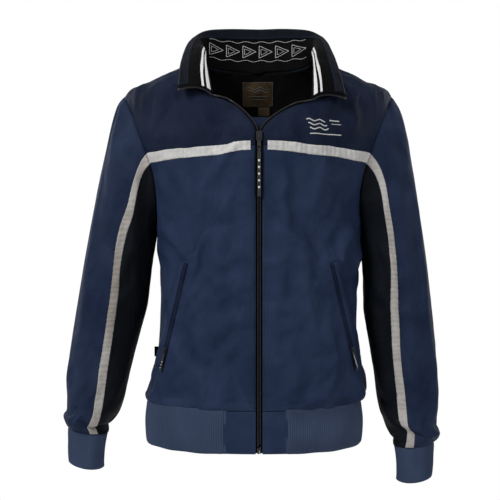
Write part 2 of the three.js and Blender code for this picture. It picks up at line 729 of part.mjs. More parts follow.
// The slider grips both rows: a front and a back plate on a thin web that runs between the rows.
function makeSlider() {
  const top = zipTopZ;
  const bottom = zipTopZ - sliderLength;
  const front = frontY - 2.2;
  const backPlate = [frontY + teethDeep[1] + 0.5, frontY + teethDeep[1] + 2.1];
  const arch = 4;
  const archHalf = 1.3;
  const body = joined(
    box([-sliderHalf, front, bottom], [sliderHalf, frontY, top]),
    box([-sliderHalf, backPlate[0], bottom], [sliderHalf, backPlate[1], top]),
    box([-0.4, frontY - 1, bottom + 1], [0.4, backPlate[1] - 0.5, top - 1]),
    box([-archHalf, front - arch, bottom + 2], [archHalf, front - arch + 1.6, top - 2]),
    box([-archHalf, front - arch, bottom + 2], [archHalf, front + 0.5, bottom + 4.2]),
    box([-archHalf, front - arch, top - 4.2], [archHalf, front + 0.5, top - 2]),
  );
  add('slider_body', body, enamel);
  const pivot = vec(0, front - 1.2, bottom + 5.2);
  const bar = 0.6;
  const arm = 1.9;
  const tab = joined(
    box([-3, pivot.y - bar, pivot.z - bar], [3, pivot.y + bar, pivot.z + bar]),
    box([-3, pivot.y - bar, pivot.z - 6], [-arm, pivot.y + bar, pivot.z]),
    box([arm, pivot.y - bar, pivot.z - 6], [3, pivot.y + bar, pivot.z]),
    box([-3, pivot.y - bar, pivot.z - pullTabLength + 5], [3, pivot.y + bar, pivot.z - 5]),
    box([-3, pivot.y - bar, pivot.z - pullTabLength], [-arm, pivot.y + bar, pivot.z - pullTabLength + 6]),
    box([arm, pivot.y - bar, pivot.z - pullTabLength], [3, pivot.y + bar, pivot.z - pullTabLength + 6]),
    box([-3, pivot.y - bar, pivot.z - pullTabLength - bar], [3, pivot.y + bar, pivot.z - pullTabLength + bar]),
  );
  add('pull_tab', tab, enamel);
  const hang = vec(0, pivot.y, pivot.z - pullTabLength);
  const eye = 1;
  const wall = 1;
  const half = archHalf + 0.2;
  const puller = joined(
    box([-half, hang.y - eye - wall, hang.z - 3], [half, hang.y - eye, hang.z + eye + wall]),
    box([-half, hang.y + eye, hang.z - 3], [half, hang.y + eye + wall, hang.z + eye + wall]),
    box([-half, hang.y - eye - wall, hang.z + eye], [half, hang.y + eye + wall, hang.z + eye + wall]),
    box([-half, hang.y - eye - wall, hang.z - 3.5], [half, hang.y + eye + wall, hang.z - 1.6]),
    box([-pullerHalf, hang.y - 1.2, hang.z - pullerLength], [pullerHalf, hang.y + 1.2, hang.z - 2.5]),
  );
  add('zip_puller', puller, plastic);
}

// The flap behind the zip, sewn to the lining of the wearer's right front and bent back at its top.
function makeStormFlap() {
  const face = teethDeep[1] + 2.8;
  const thick = 1.5;
  const flapLevels = [hemZ + 4, zipTopZ, lerp(zipTopZ, flapTop, 0.5), flapTop];
  const frames = flapLevels.map((z) => ({ p: vec(0, frontAt(z), z), n: vec(0, -1, 0), b: vec(1, 0, 0) }));
  const seamFace = frontY + shellCloth + 2 * layerGap + liningCloth + 0.8;
  const flap = joined(
    strip(frames, -flapHalf, flapHalf, -face - thick, -face),
    box([-flapHalf, seamFace, waistZ + 4], [-zipTapeFar - 2, frontY + face + thick / 2, zipTopZ - 20]),
  );
  add('storm_flap', flap, navy);
}

// ---------------------------------------------------------------- pockets

function makePocket(side) {
  const sign = sideSign[side];
  const at = (f, across) => {
    const dx = pocketBottom[0] - pocketTop[0];
    const dz = pocketBottom[1] - pocketTop[1];
    const length = Math.hypot(dx, dz);
    const x = lerp(pocketTop[0], pocketBottom[0], f) - (across * dz) / length;
    const z = lerp(pocketTop[1], pocketBottom[1], f) + (across * dx) / length;
    return bodyFrame(side, -1, turnAtX(side, x, z), z);
  };
  const rows = steps(0, 1, 8);
  const lift = layerGap + 0.6;
  const half = pocketTeethWidth / 2;
  const reach = half + 1;      // half-width of the pocket slider
  const welt = rows.map((f) => [reach + looseGap, half + weltWidth].map((across) => at(f, across)));
  add(`${side}_pocket_welt`, cloth(welt, looseGap, looseGap + weltCloth), navy);

  // The zip is a straight bar just clear of the body's curve, so that its slider can run on it.
  const [top, bottom] = [at(0, 0), at(1, 0)];
  const along = bottom.p.clone().sub(top.p).normalize();
  const n = top.n.clone().add(bottom.n);
  n.addScaledVector(along, -n.dot(along)).normalize();
  const across = along.clone().cross(n).normalize();
  const proud = Math.max(...rows.map((f) => at(f, 0).p.sub(top.p).dot(n))) + lift;
  const bar = new THREE.Group();
  bar.matrixAutoUpdate = false;
  bar.matrix.makeBasis(across, n, along.clone().negate()).setPosition(bottom.p);
  group.add(bar);
  const length = top.p.distanceTo(bottom.p);
  add(`${side}_pocket_teeth`, box([-half, proud - 1, 2], [half, proud, length - 2]), plastic, bar);
  const sliderAt = 26;
  const face = proud + 0.35;
  const slider = joined(
    box([-reach, face, sliderAt], [reach, face + 1.6, sliderAt + 10]),
    box([-0.9, face + 3.4, sliderAt + 1.5], [0.9, face + 4.6, sliderAt + 8.5]),
    box([-0.9, face + 1, sliderAt + 1.5], [0.9, face + 4.6, sliderAt + 3]),
    box([-0.9, face + 1, sliderAt + 7], [0.9, face + 4.6, sliderAt + 8.5]),
  );
  add(`${side}_pocket_slider`, slider, enamel, bar);

  // The pull hangs from the slider's arch, as far off the cloth as its weight takes it.
  const pull = new THREE.Group();
  pull.position.set(0, face + 2.5, sliderAt + 4);
  pull.rotation.x = Math.atan2(-n.z, -along.z);
  bar.add(pull);
  const eyeLength = 6;
  const pullLength = 36;
  const solid = joined(
    box([-2.2, -0.5, -0.5], [2.2, 0.5, 0.5]),
    box([-2.2, -0.5, -eyeLength], [-1.3, 0.5, 0]),
    box([1.3, -0.5, -eyeLength], [2.2, 0.5, 0]),
    box([-2.2, -0.5, -pullLength], [2.2, 0.5, 1 - eyeLength]),
  );
  add(`${side}_pocket_pull`, solid, plastic, pull);

  // The bag hangs inside the lining, from the opening towards the centre front.
  const inner = -shellCloth - layerGap - liningCloth - looseGap * 1.9;
  const bag = steps(0.04, 1, 4).map((f) => steps(8, -pocketBagDepth * 0.75, 5).map((a) => at(f, a)));
  add(`${side}_pocket_bag`, cloth(bag, inner - 1.6, inner), black);
}

// ---------------------------------------------------------------- labels and loop

function backPatch(x0, x1, z0, z1, near, far) {
  const frame = (x, z) => {
    const side = x < 0 ? 'R' : 'L';
    return bodyFrame(side, 1, turnAtX(side, x, z), z);
  };
  return cloth([z0, lerp(z0, z1, 0.5), z1].map((z) => steps(x0, x1, 4).map((x) => frame(x, z))), near, far);
}

function makeTrim() {
  const inner = -shellCloth - layerGap - liningCloth - looseGap * 2.2;
  const labelBottom = labelTop - labelSize[1];
  add('main_label', backPatch(-labelSize[0] / 2, labelSize[0] / 2, labelBottom, labelTop, inner - 0.8, inner), brown);
  add('size_label', backPatch(1, 1 + sizeLabel[0], labelBottom - sizeLabel[1], labelBottom, inner - 0.8, inner), brown);
  const loopPath = new THREE.CatmullRomCurve3([
    vec(-17, 3.2, 5), vec(-10, 1, 1.5), vec(0, 0, 0), vec(10, 1, 1.5), vec(17, 3.2, 5),
  ]);
  const frames = steps(0, 1, 10).map((f) => {
    const along = loopPath.getTangent(f);
    const n = vec(0, -1, 0).addScaledVector(along, along.y).normalize();
    return { p: loopPath.getPoint(f), n, b: along.clone().cross(n).normalize() };
  });
  add('hanging_loop', strip(frames, -2.5, 2.5, -0.5, 0.5), black);
  const flagZ = -530;
  const sideX = section('R', flagZ).half;
  const [wide, thick, tall] = flagLabel;
  const middle = section('R', flagZ).middle;
  const flag = box([-sideX - 0.8 - wide, middle - thick / 2, flagZ - tall / 2],
    [-sideX - 0.8, middle + thick / 2, flagZ + tall / 2]);
  add('flag_label', flag, black);
}

// ---------------------------------------------------------------- assembly

makeBody();
makeWaistband();
for (const side of ['R', 'L']) {
  makeSleeve(side);
  makeCuff(side);
  makePocket(side);
}
makeZip(makeCollar());
makeSlider();
makeStormFlap();
makeTrim();

export default group;
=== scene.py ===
# Foul weather jacket: the looks of a zipped navy blouson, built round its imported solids.
# Cloth is laid out on the body's own curves in millimetres and becomes metres where it turns into a mesh.
import math
import bmesh
import bpy
import numpy as np
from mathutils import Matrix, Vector, noise
from mathutils.bvhtree import BVHTree
from mathutils.kdtree import KDTree


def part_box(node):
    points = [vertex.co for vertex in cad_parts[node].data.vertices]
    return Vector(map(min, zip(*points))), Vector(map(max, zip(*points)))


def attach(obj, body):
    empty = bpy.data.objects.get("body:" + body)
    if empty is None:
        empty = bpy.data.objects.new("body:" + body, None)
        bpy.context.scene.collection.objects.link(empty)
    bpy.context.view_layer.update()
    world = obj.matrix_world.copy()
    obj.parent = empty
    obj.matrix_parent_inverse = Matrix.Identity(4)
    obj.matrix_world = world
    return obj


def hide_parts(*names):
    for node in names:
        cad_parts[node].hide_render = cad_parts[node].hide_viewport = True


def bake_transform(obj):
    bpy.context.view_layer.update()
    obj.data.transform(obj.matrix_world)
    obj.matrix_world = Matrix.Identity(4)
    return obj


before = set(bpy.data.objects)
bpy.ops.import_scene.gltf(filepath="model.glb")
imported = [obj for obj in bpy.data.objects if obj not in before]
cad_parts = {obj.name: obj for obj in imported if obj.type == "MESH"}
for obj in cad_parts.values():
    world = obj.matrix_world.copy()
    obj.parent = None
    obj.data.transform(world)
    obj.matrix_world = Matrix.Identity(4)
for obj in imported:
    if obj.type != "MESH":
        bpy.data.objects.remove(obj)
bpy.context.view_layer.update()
MM = 0.001
SIDES = {"R": -1, "L": 1}

# ---------------------------------------------------------------- camera, floor and light


def set_camera():
    data = bpy.data.cameras.new("camera")
    data.lens = 55.4
    camera = bpy.data.objects.new("camera", data)
    camera.location = (-0.015, -1.495, -0.345)
    camera.rotation_euler = (math.radians(90), 0, 0)
    bpy.context.scene.collection.objects.link(camera)
    bpy.context.scene.camera = camera


def set_floor():
    bm = bmesh.new()
    bmesh.ops.create_circle(bm, cap_ends=True, segments=96, radius=1.75)
    bmesh.ops.translate(bm, verts=bm.verts, vec=(0, 0, -1.47))
    floor = mesh_object("floor", bm)
    floor.data.materials.append(plain_material("pale_floor", (0.86, 0.86, 0.86), 0.8))


def area_light(name, place, aim, size, power):
    data = bpy.data.lights.new(name, "AREA")
    data.shape = "DISK"
    data.size = size
    data.energy = power
    lamp = bpy.data.objects.new(name, data)
    lamp.location = place
    lamp.rotation_euler = (Vector(aim) - Vector(place)).to_track_quat("-Z", "Y").to_euler()
    bpy.context.scene.collection.objects.link(lamp)


def set_light():
    world = bpy.data.worlds.new("studio")
    world.use_nodes = True
    background = world.node_tree.nodes["Background"]
    background.inputs["Color"].default_value = (1, 1, 1, 1)
    background.inputs["Strength"].default_value = 1.0
    bpy.context.scene.world = world
    middle = (0, -0.1, -0.35)
    area_light("key", (-1.7, -1.7, 1.3), middle, 0.9, 150)
    area_light("fill", (1.8, -1.9, 0.5), middle, 1.4, 45)
    area_light("rim_left", (-1.8, 0.9, 0.4), middle, 1.2, 30)
    area_light("rim_right", (1.8, 0.9, 0.4), middle, 1.2, 30)
    bpy.context.scene.view_settings.view_transform = "Standard"


# ---------------------------------------------------------------- meshes


def mesh_object(name, bm, smooth=True):
    mesh = bpy.data.meshes.new(name)
    bm.to_mesh(mesh)
    bm.free()
    if smooth:
        mesh.shade_smooth()
    piece = bpy.data.objects.new(name, mesh)
    bpy.context.scene.collection.objects.link(piece)
    return piece


def grid(points, uv=None, material=0, flip=False):
    """A bmesh grid whose vertices sit at points[row, column], in millimetres."""
    rows, columns = points.shape[:2]
    bm = bmesh.new()
    bmesh.ops.create_grid(bm, x_segments=columns - 1, y_segments=rows - 1, size=1)
    bm.verts.ensure_lookup_table()
    for vert, place in zip(bm.verts, points.reshape(-1, 3) * MM):
        vert.co = place
    layer = bm.loops.layers.uv.new("UVMap")
    if uv is None:
        uv = lengths(points)
    spots = uv.reshape(-1, 2) * MM
    for face in bm.faces:
        face.material_index = material
        for loop in face.loops:
            loop[layer].uv = spots[loop.vert.index]
    if flip:
        bmesh.ops.reverse_faces(bm, faces=bm.faces)
    return bm


def lengths(points):
    """Distances along the rows and columns of a grid, as a cutter would lay the cloth flat."""
    across = np.zeros(points.shape[:2])
    along = np.zeros(points.shape[:2])
    across[:, 1:] = np.cumsum(np.linalg.norm(np.diff(points, axis=1), axis=-1), axis=1)
    along[1:, :] = np.cumsum(np.linalg.norm(np.diff(points, axis=0), axis=-1), axis=0)
    return np.stack([across, along], -1)


def join_bmesh(parts):
    whole = bmesh.new()
    whole.loops.layers.uv.new("UVMap")
    for part in parts:
        mesh = bpy.data.meshes.new("part")
        part.to_mesh(mesh)
        part.free()
        whole.from_mesh(mesh)
        bpy.data.meshes.remove(mesh)
    return whole


def with_modifiers(piece):
    """Replaces a piece's mesh by what its modifiers make of it."""
    bpy.context.view_layer.update()
    made = bpy.data.meshes.new_from_object(piece.evaluated_get(bpy.context.evaluated_depsgraph_get()))
    piece.modifiers.clear()
    piece.data = made
    return piece


def subdivide(piece, levels=1):
    modifier = piece.modifiers.new("finer", "SUBSURF")
    modifier.levels = modifier.render_levels = levels
    modifier.boundary_smooth = "PRESERVE_CORNERS"
    return with_modifiers(piece)


def thicken(piece, thickness, offset=-1):
    modifier = piece.modifiers.new("cloth", "SOLIDIFY")
    modifier.thickness = thickness * MM
    modifier.offset = offset
    modifier.use_even_offset = False
    modifier.use_rim = True
    return with_modifiers(piece)


def coordinates(mesh):
    co = np.empty(len(mesh.vertices) * 3)
    mesh.vertices.foreach_get("co", co)
    return co.reshape(-1, 3)


def set_coordinates(mesh, co):
    mesh.vertices.foreach_set("co", co.ravel())
    mesh.update()


def normals(mesh):
    n = np.empty(len(mesh.vertices) * 3)
    mesh.vertices.foreach_get("normal", n)
    return n.reshape(-1, 3)


# ---------------------------------------------------------------- curves


def ease(v):
    v = np.clip(v, 0, 1)
    return v * v * (3 - 2 * v)


def lerp(a, b, f):
    return a + (b - a) * f


def track(pairs):
    """A smooth curve through (position, value) pairs that never overshoots them."""
    at, value = (np.array(column, float) for column in zip(*pairs))
    rise = np.diff(value) / np.diff(at)
    slope = np.empty_like(value)
    slope[0], slope[-1] = rise[0], rise[-1]
    same = rise[:-1] * rise[1:] > 0
    total = np.where(same, rise[:-1] + rise[1:], 1)
    slope[1:-1] = np.where(same, 2 * rise[:-1] * rise[1:] / total, 0)

    def curve(position):
        position = np.asarray(position, float)
        k = np.clip(np.searchsorted(at, position, side="right") - 1, 0, len(at) - 2)
        span = at[k + 1] - at[k]
        u = np.clip((position - at[k]) / span, 0, 1)
        return (value[k] * (1 + 2 * u) * (1 - u) ** 2 + slope[k] * span * u * (1 - u) ** 2
                + value[k + 1] * u * u * (3 - 2 * u) + slope[k + 1] * span * u * u * (u - 1))

    return curve


def spline(points, t):
    """A centripetal curve through points, at positions t from 0 to 1."""
    points = np.array(points, float)
    wide = np.vstack([2 * points[0] - points[1], points, 2 * points[-1] - points[-2]])
    t = np.asarray(t, float) * (len(points) - 1)
    k = np.clip(t.astype(int), 0, len(points) - 2)
    u = (t - k)[..., None]
    p0, p1, p2, p3 = wide[k], wide[k + 1], wide[k + 2], wide[k + 3]
    d0, d1, d2 = (np.sqrt(np.linalg.norm(b - a, axis=-1))[..., None]
                  for a, b in ((p0, p1), (p1, p2), (p2, p3)))
    m1 = ((p1 - p0) / d0 - (p2 - p0) / (d0 + d1) + (p2 - p1) / d1) * d1
    m2 = ((p2 - p1) / d1 - (p3 - p1) / (d1 + d2) + (p3 - p2) / d2) * d1
    return (p1 + m1 * u + (-3 * p1 + 3 * p2 - 2 * m1 - m2) * u ** 2
            + (2 * p1 - 2 * p2 + m1 + m2) * u ** 3)


def unit(v):
    return v / np.maximum(np.linalg.norm(v, axis=-1, keepdims=True), 1e-9)


# ---------------------------------------------------------------- sizes shared with the solids, millimetres

hem_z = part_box("waist_rib")[0].z / MM
waist_z = hem_z + 70
neck_half, neck_z = 98, 8
shoulder_half, shoulder_z = 238, -60
chest_half, bloused = 188, 10
band_half, band_shift = 190, 8
front_y, back_y = -227, 46
fullness = 2.3
armhole_depth, armhole_half = 115, 65
armhole_z = shoulder_z - 1 - armhole_depth
armpit_z = armhole_z - armhole_depth
sleeve_hang = {"R": 0, "L": -2.5}
sleeve_drop = {"R": 0, "L": 22}
cuff_depth = 62
tape_width = 15
last_frame = 22      # where the settling of the cloth is stopped
chest_tape_z = -172
chest_tape_start = 14
zip_top_z = -149
cloth_edge = 5.5
collar_top = 88
neck_end = {"R": (76, -78), "L": (87, -87)}
wing_corner = {"R": (136, -73), "L": (147, -88)}
wing_y = -198
pocket_top, pocket_bottom = (121, -367), (165, -546)
tab_width = {"R": 60, "L": 48}
quarter = math.pi / 2
tape_turn = tape_width / 2 / armhole_depth
back_seam = math.radians(250)
neck_share = 0.45
step = 8           # spacing of the cloth before it is made finer

levels = [
    (hem_z, band_half + 1, front_y, 9),
    (hem_z + 35, band_half + 2, front_y, 12),
    (waist_z, band_half, front_y, 13),
    (waist_z + 8, chest_half + bloused - 2, front_y, 33),
    (waist_z + 24, chest_half + bloused, front_y, 43),
    (waist_z + 60, chest_half + bloused - 2, front_y, 46),
    (lerp(waist_z, armpit_z, 0.45), chest_half + 4, front_y, back_y),
    (armpit_z, chest_half, front_y, back_y - 6),
    (armpit_z + 43, chest_half + 4, front_y, back_y - 10),
    (armpit_z + 85, chest_half + 15, front_y, back_y - 15),
    (armpit_z + 130, shoulder_half - 15, front_y, back_y - 20),
    (zip_top_z + 2, shoulder_half - 10, front_y, back_y - 21),
    (shoulder_z - 57, shoulder_half - 1, front_y + 13, back_y - 23),
    (shoulder_z - 12, shoulder_half + 3, front_y + 34, back_y - 27),
    *[(lerp(neck_z, shoulder_z, f), lerp(neck_half, shoulder_half, f),
       lerp(front_y + 80, front_y + 41, f), lerp(7, back_y - 29, f)) for f in (1, 0.75, 0.5, 0.25, 0)],
]
half_at, front_at, back_at = (track([(level[0], level[i]) for level in levels]) for i in (1, 2, 3))
shift_at = track([(hem_z, band_shift), (waist_z, band_shift), (waist_z + 24, 2), (armpit_z, 0), (neck_z, 0)])

# ---------------------------------------------------------------- the body's surface


def section(sign, z):
    front, back = front_at(z), back_at(z)
    return half_at(z) - sign * shift_at(z), (front + back) / 2, (back - front) / 2


def body_point(sign, face, turn, z):
    """turn is 0 at the side and a quarter turn at the centre; face is -1 at the front and 1 at the back."""
    half, middle, deep = section(sign, z)
    power = 2 / fullness
    x = sign * half * np.maximum(0, np.cos(turn)) ** power
    y = middle + face * deep * np.maximum(0, np.sin(turn)) ** power
    return np.stack(np.broadcast_arrays(x, y, z), -1)


def turn_at_x(sign, x, z):
    return np.arccos(np.clip(np.abs(x) / section(sign, z)[0], 0, 1) ** (fullness / 2))


def armhole(sign, angle):
    """The armhole seam: angle 0 is the shoulder tip, a quarter turn the front, a half turn the armpit."""
    z = armhole_z + armhole_depth * np.cos(angle)
    share = armhole_half * np.abs(np.sin(angle)) / section(sign, z)[2]
    return np.arcsin(np.clip(share, 0, 1) ** (fullness / 2)), z, np.where(np.sin(angle) >= 0, -1, 1)


def open_edge(side, r):
    """The zip's middle line above the slider, in the front view, and the direction into the cloth."""
    end_x, end_z = neck_end[side]
    p = np.array([(0, zip_top_z), (0, zip_top_z + 16), (end_x * 0.42, end_z - 14), (end_x, end_z)], float)
    r = np.asarray(r, float)[..., None]
    point = (1 - r) ** 3 * p[0] + 3 * (1 - r) ** 2 * r * p[1] + 3 * (1 - r) * r * r * p[2] + r ** 3 * p[3]
    along = unit((1 - r) ** 2 * (p[1] - p[0]) + 2 * (1 - r) * r * (p[2] - p[1]) + r * r * (p[3] - p[2]))
    return point, np.stack([along[..., 1], -along[..., 0]], -1)


def panel_edge(side, r, distance):
    point, away = open_edge(side, r)
    x, z = np.moveaxis(point + away * distance, -1, 0)
    return turn_at_x(SIDES[side], x, z), z


def front_neck(side, f, distance=cloth_edge):
    point, away = open_edge(side, 1.0)
    x, z = point + away * distance
    level = lerp(z, neck_z, np.asarray(f, float))
    return turn_at_x(SIDES[side], lerp(x, neck_half, f), level), level


low_angles = np.linspace(math.pi, quarter + tape_turn, 16)
tape_angles = np.linspace(quarter + tape_turn, quarter - tape_turn, 5)
high_angles = np.linspace(quarter - tape_turn, 0, 31)
back_low = np.linspace(math.pi, back_seam, 10)
back_high = np.linspace(back_seam, 2 * math.pi, 25)
side_z = np.concatenate([np.linspace(waist_z, waist_z + 24, 6), np.linspace(waist_z + 24, armpit_z, 36)[1:]])


def front_rows(side, distance):
    """The inner and outer end of each row of a front panel, as turns and heights."""
    sign = SIDES[side]
    outer_turn, outer_z, _ = armhole(sign, np.concatenate([low_angles[1:], tape_angles[1:], high_angles[1:]]))
    half = tape_width / 2
    inner_z = np.concatenate([side_z, np.linspace(armpit_z, chest_tape_z - half, len(low_angles))[1:],
                              np.linspace(chest_tape_z - half, chest_tape_z + half, len(tape_angles))[1:]])
    inner_turn = turn_at_x(sign, distance, inner_z)
    rise = np.linspace(0, 10, len(high_angles))[1:]
    straight_z = lerp(chest_tape_z + half, zip_top_z, rise)
    edge_turn, edge_z = panel_edge(side, np.clip((rise - 1) / 4, 0, 1), distance)
    neck_turn, neck_level = front_neck(side, np.clip((rise - 5) / 5, 0, 1), distance)
    high_turn = np.select([rise < 1, rise < 5], [turn_at_x(sign, distance, straight_z), edge_turn], neck_turn)
    high_z = np.select([rise < 1, rise < 5], [straight_z, edge_z], neck_level)
    return (np.concatenate([inner_turn, high_turn]), np.concatenate([inner_z, high_z]),
            np.concatenate([side_z * 0, outer_turn]), np.concatenate([side_z, outer_z]))


front_seam_row = len(side_z) + len(low_angles) - 1 + 1     # the row on the middle of the chest tape


def front_points(side, distance=cloth_edge, shares=np.linspace(0, 1, 38)):
    inner_turn, inner_z, outer_turn, outer_z = (v[:, None] for v in front_rows(side, distance))
    turn = lerp(inner_turn, outer_turn, shares)
    return body_point(SIDES[side], -1, turn, lerp(inner_z, outer_z, shares))


def back_neck_z(turn):
    return neck_z * (1 - np.sin(turn))


def half_back(side):
    sign = SIDES[side]
    angles = np.concatenate([back_low[1:], back_high[1:]])
    outer_turn, outer_z, _ = armhole(sign, angles)
    rise = np.concatenate([np.linspace(0, 1 / 3, len(back_low))[1:],
                           np.linspace(1 / 3, 1, len(back_high))[1:]])
    middle_z = np.concatenate([side_z, lerp(armpit_z, 0, rise)])[:, None]
    outer_turn = np.concatenate([side_z * 0, outer_turn])[:, None]
    outer_z = np.concatenate([side_z, outer_z])[:, None]
    lift = np.concatenate([side_z * 0, rise ** 2])[:, None]
    s = np.concatenate([np.linspace(0, neck_share, 17), np.linspace(neck_share, 1, 20)[1:]])[None, :]
    top_turn = np.where(s < neck_share, quarter * (1 - s / neck_share), 0)
    top_z = np.where(s < neck_share, back_neck_z(top_turn),
                     lerp(neck_z, shoulder_z - 1, (s - neck_share) / (1 - neck_share)))
    turn = lerp(quarter, outer_turn, s) + lift * (top_turn - lerp(quarter, 0, s))
    z = lerp(middle_z, outer_z, s) + lift * (top_z - lerp(0, shoulder_z - 1, s))
    return body_point(sign, 1, turn, z)


# ---------------------------------------------------------------- sleeves

sleeve_rings = [
    (shoulder_half, shoulder_z - 1, chest_half, armpit_z, armhole_half, -98),
    (shoulder_half + 20, shoulder_z - 13, chest_half + 1, armpit_z - 9, 66, -98),
    (shoulder_half + 34, shoulder_z - 43, chest_half + 4, armpit_z - 21, 68, -99),
    (shoulder_half + 46, shoulder_z - 85, chest_half + 7, armpit_z - 39, 70, -99),
    (297, -203, 198, -353, 72, -100),
    (311, -270, 202, -388, 71, -101),
    (326, -352, 206, -428, 68, -103),
    (340, -450, 218, -476, 64, -106),
    (350, -530, 235, -549, 59, -109),
    (356, -598, 247, -615, 54, -112),
    (356, -636, 258, -650, 45, -114),
    (341, -660, 268, -671, 34, -115),
]
cuff_rings = [
    (341, -660.2, 269, -671.2, 33, -115),
    (338, -690, 274, -700, 30, -116),
    (338, -660 - cuff_depth, 277, -671 - cuff_depth, 29, -117),
]
last_ring = len(sleeve_rings) - 1
tape_lines = {
    "R": track([(0, 90), (3, 104), (5, 97), (6.5, 101), (last_ring, 116)]),
    "L": track([(0, 90), (3, 102), (5, 101), (6.5, 106), (8, 112), (last_ring, 112)]),
}


def tube(side, rings):
    out_x, out_z, in_x, in_z, deep, middle = (track(list(enumerate(column))) for column in zip(*rings))
    hang = math.radians(sleeve_hang[side])

    def point(angle, w, progress):
        angle, w = np.broadcast_arrays(angle, w)
        cos = (1 + np.cos(angle)) / 2
        x = lerp(in_x(w), out_x(w), cos) - shoulder_half
        y = middle(w) - deep(w) * np.sin(angle)
        z = lerp(in_z(w), out_z(w), cos) - shoulder_z
        swing = hang * ease(progress * 1.2)
        turned = x * np.cos(swing) - z * np.sin(swing) + shoulder_half
        dropped = x * np.sin(swing) + z * np.cos(swing) + shoulder_z - sleeve_drop[side] * progress
        return np.stack([SIDES[side] * turned, y, dropped], -1)

    return point


def sleeve_point(side, angle, w):
    plain = tube(side, sleeve_rings)
    turn, z, face = armhole(SIDES[side], angle)
    fade = np.clip(1 - w / 3, 0, 1) ** 2
    angle, w, turn, z, face, fade = np.broadcast_arrays(angle, w, turn, z, face, fade)
    shift = body_point(SIDES[side], face, turn, z) - plain(angle, w * 0, w * 0)
    return plain(angle, w, w / last_ring) + shift * fade[..., None]


def even_levels(rings):
    """Ring positions that lie about one step apart along the sleeve."""
    w = np.linspace(0, len(rings) - 1, 400)
    columns = [track(list(enumerate(column)))(w) for column in zip(*rings)]
    centre = np.stack([(columns[0] + columns[2]) / 2, (columns[1] + columns[3]) / 2], -1)
    run = np.concatenate([[0], np.cumsum(np.linalg.norm(np.diff(centre, axis=0), axis=1))])
    return np.interp(np.linspace(0, run[-1], round(run[-1] / step) + 1), run, w)


def sleeve_angles(side, w):
    """Angles round the sleeve at ring positions w, with room for the tape; the last one closes the ring."""
    tape = np.radians(tape_lines[side](w))[:, None]
    deep = track([(i, ring[4]) for i, ring in enumerate(sleeve_rings)])(w) * 1.02
    half = (tape_width / 2 / lerp(armhole_depth, deep, ease(w / last_ring * 2.5)))[:, None]

    def stretch(angles, start, end):
        return lerp(start, end, (angles - angles[0]) / (angles[-1] - angles[0]))

    over_back = back_high[::-1] - 2 * math.pi
    under_back = back_low[::-1] - 2 * math.pi
    full = np.ones_like(tape)
    return np.hstack([
        stretch(tape_angles, tape + half, tape - half)[:, 2:],
        stretch(high_angles, tape - half, 0 * full)[:, 1:],
        (over_back * full)[:, 1:],
        (under_back * full)[:, 1:],
        stretch(low_angles, -math.pi * full, tape + half - 2 * math.pi)[:, 1:],
        stretch(tape_angles, tape + half, tape - half)[:, 1:3] - 2 * math.pi,
    ])


over_columns = 2 + len(high_angles) - 1 + len(back_high) - 1

# ---------------------------------------------------------------- the shell, sewn as one

PANELS = ["R_front_lower", "R_front_upper", "L_front_lower", "L_front_upper", "back_panel", "back_yoke",
          "R_sleeve_over", "R_sleeve_under", "L_sleeve_over", "L_sleeve_under"]


def panel_number(name, taped):
    """Faces carry this number; it is odd where a tape lies on the panel."""
    return 2 * PANELS.index(name) + taped


def tag_faces(bm, columns, number):
    """number(row, column) gives each face of a grid its panel number."""
    for face in bm.faces:
        row, column = divmod(min(vert.index for vert in face.verts), columns)
        face.material_index = number(row, column)


def sewn_shell():
    parts = []
    for side in SIDES:
        points = front_points(side)
        bm = grid(points)
        tag_faces(bm, points.shape[1], lambda row, column: panel_number(
            f"{side}_front_lower" if row < front_seam_row else f"{side}_front_upper",
            abs(row + 0.5 - front_seam_row) < 2))
        parts.append(bm)
        w = even_levels(sleeve_rings)
        points = sleeve_point(side, sleeve_angles(side, w), w[:, None])
        last = points.shape[1] - 2
        bm = grid(points)
        tag_faces(bm, points.shape[1], lambda row, column: panel_number(
            f"{side}_sleeve_over" if column < over_columns else f"{side}_sleeve_under",
            column < 2 or column > last - 2))
        parts.append(bm)
    back = np.hstack([half_back("R")[:, ::-1], half_back("L")[:, 1:]])
    bm = grid(back)
    yoke_row = len(side_z) + len(back_low) - 1 + 12 - 1
    tag_faces(bm, back.shape[1], lambda row, column: panel_number(
        "back_panel" if row < yoke_row else "back_yoke", False))
    parts.append(bm)
    whole = join_bmesh(parts)
    bmesh.ops.remove_doubles(whole, verts=whole.verts, dist=0.2 * MM)
    bmesh.ops.recalc_face_normals(whole, faces=whole.faces)
    return mesh_object("shell", whole)


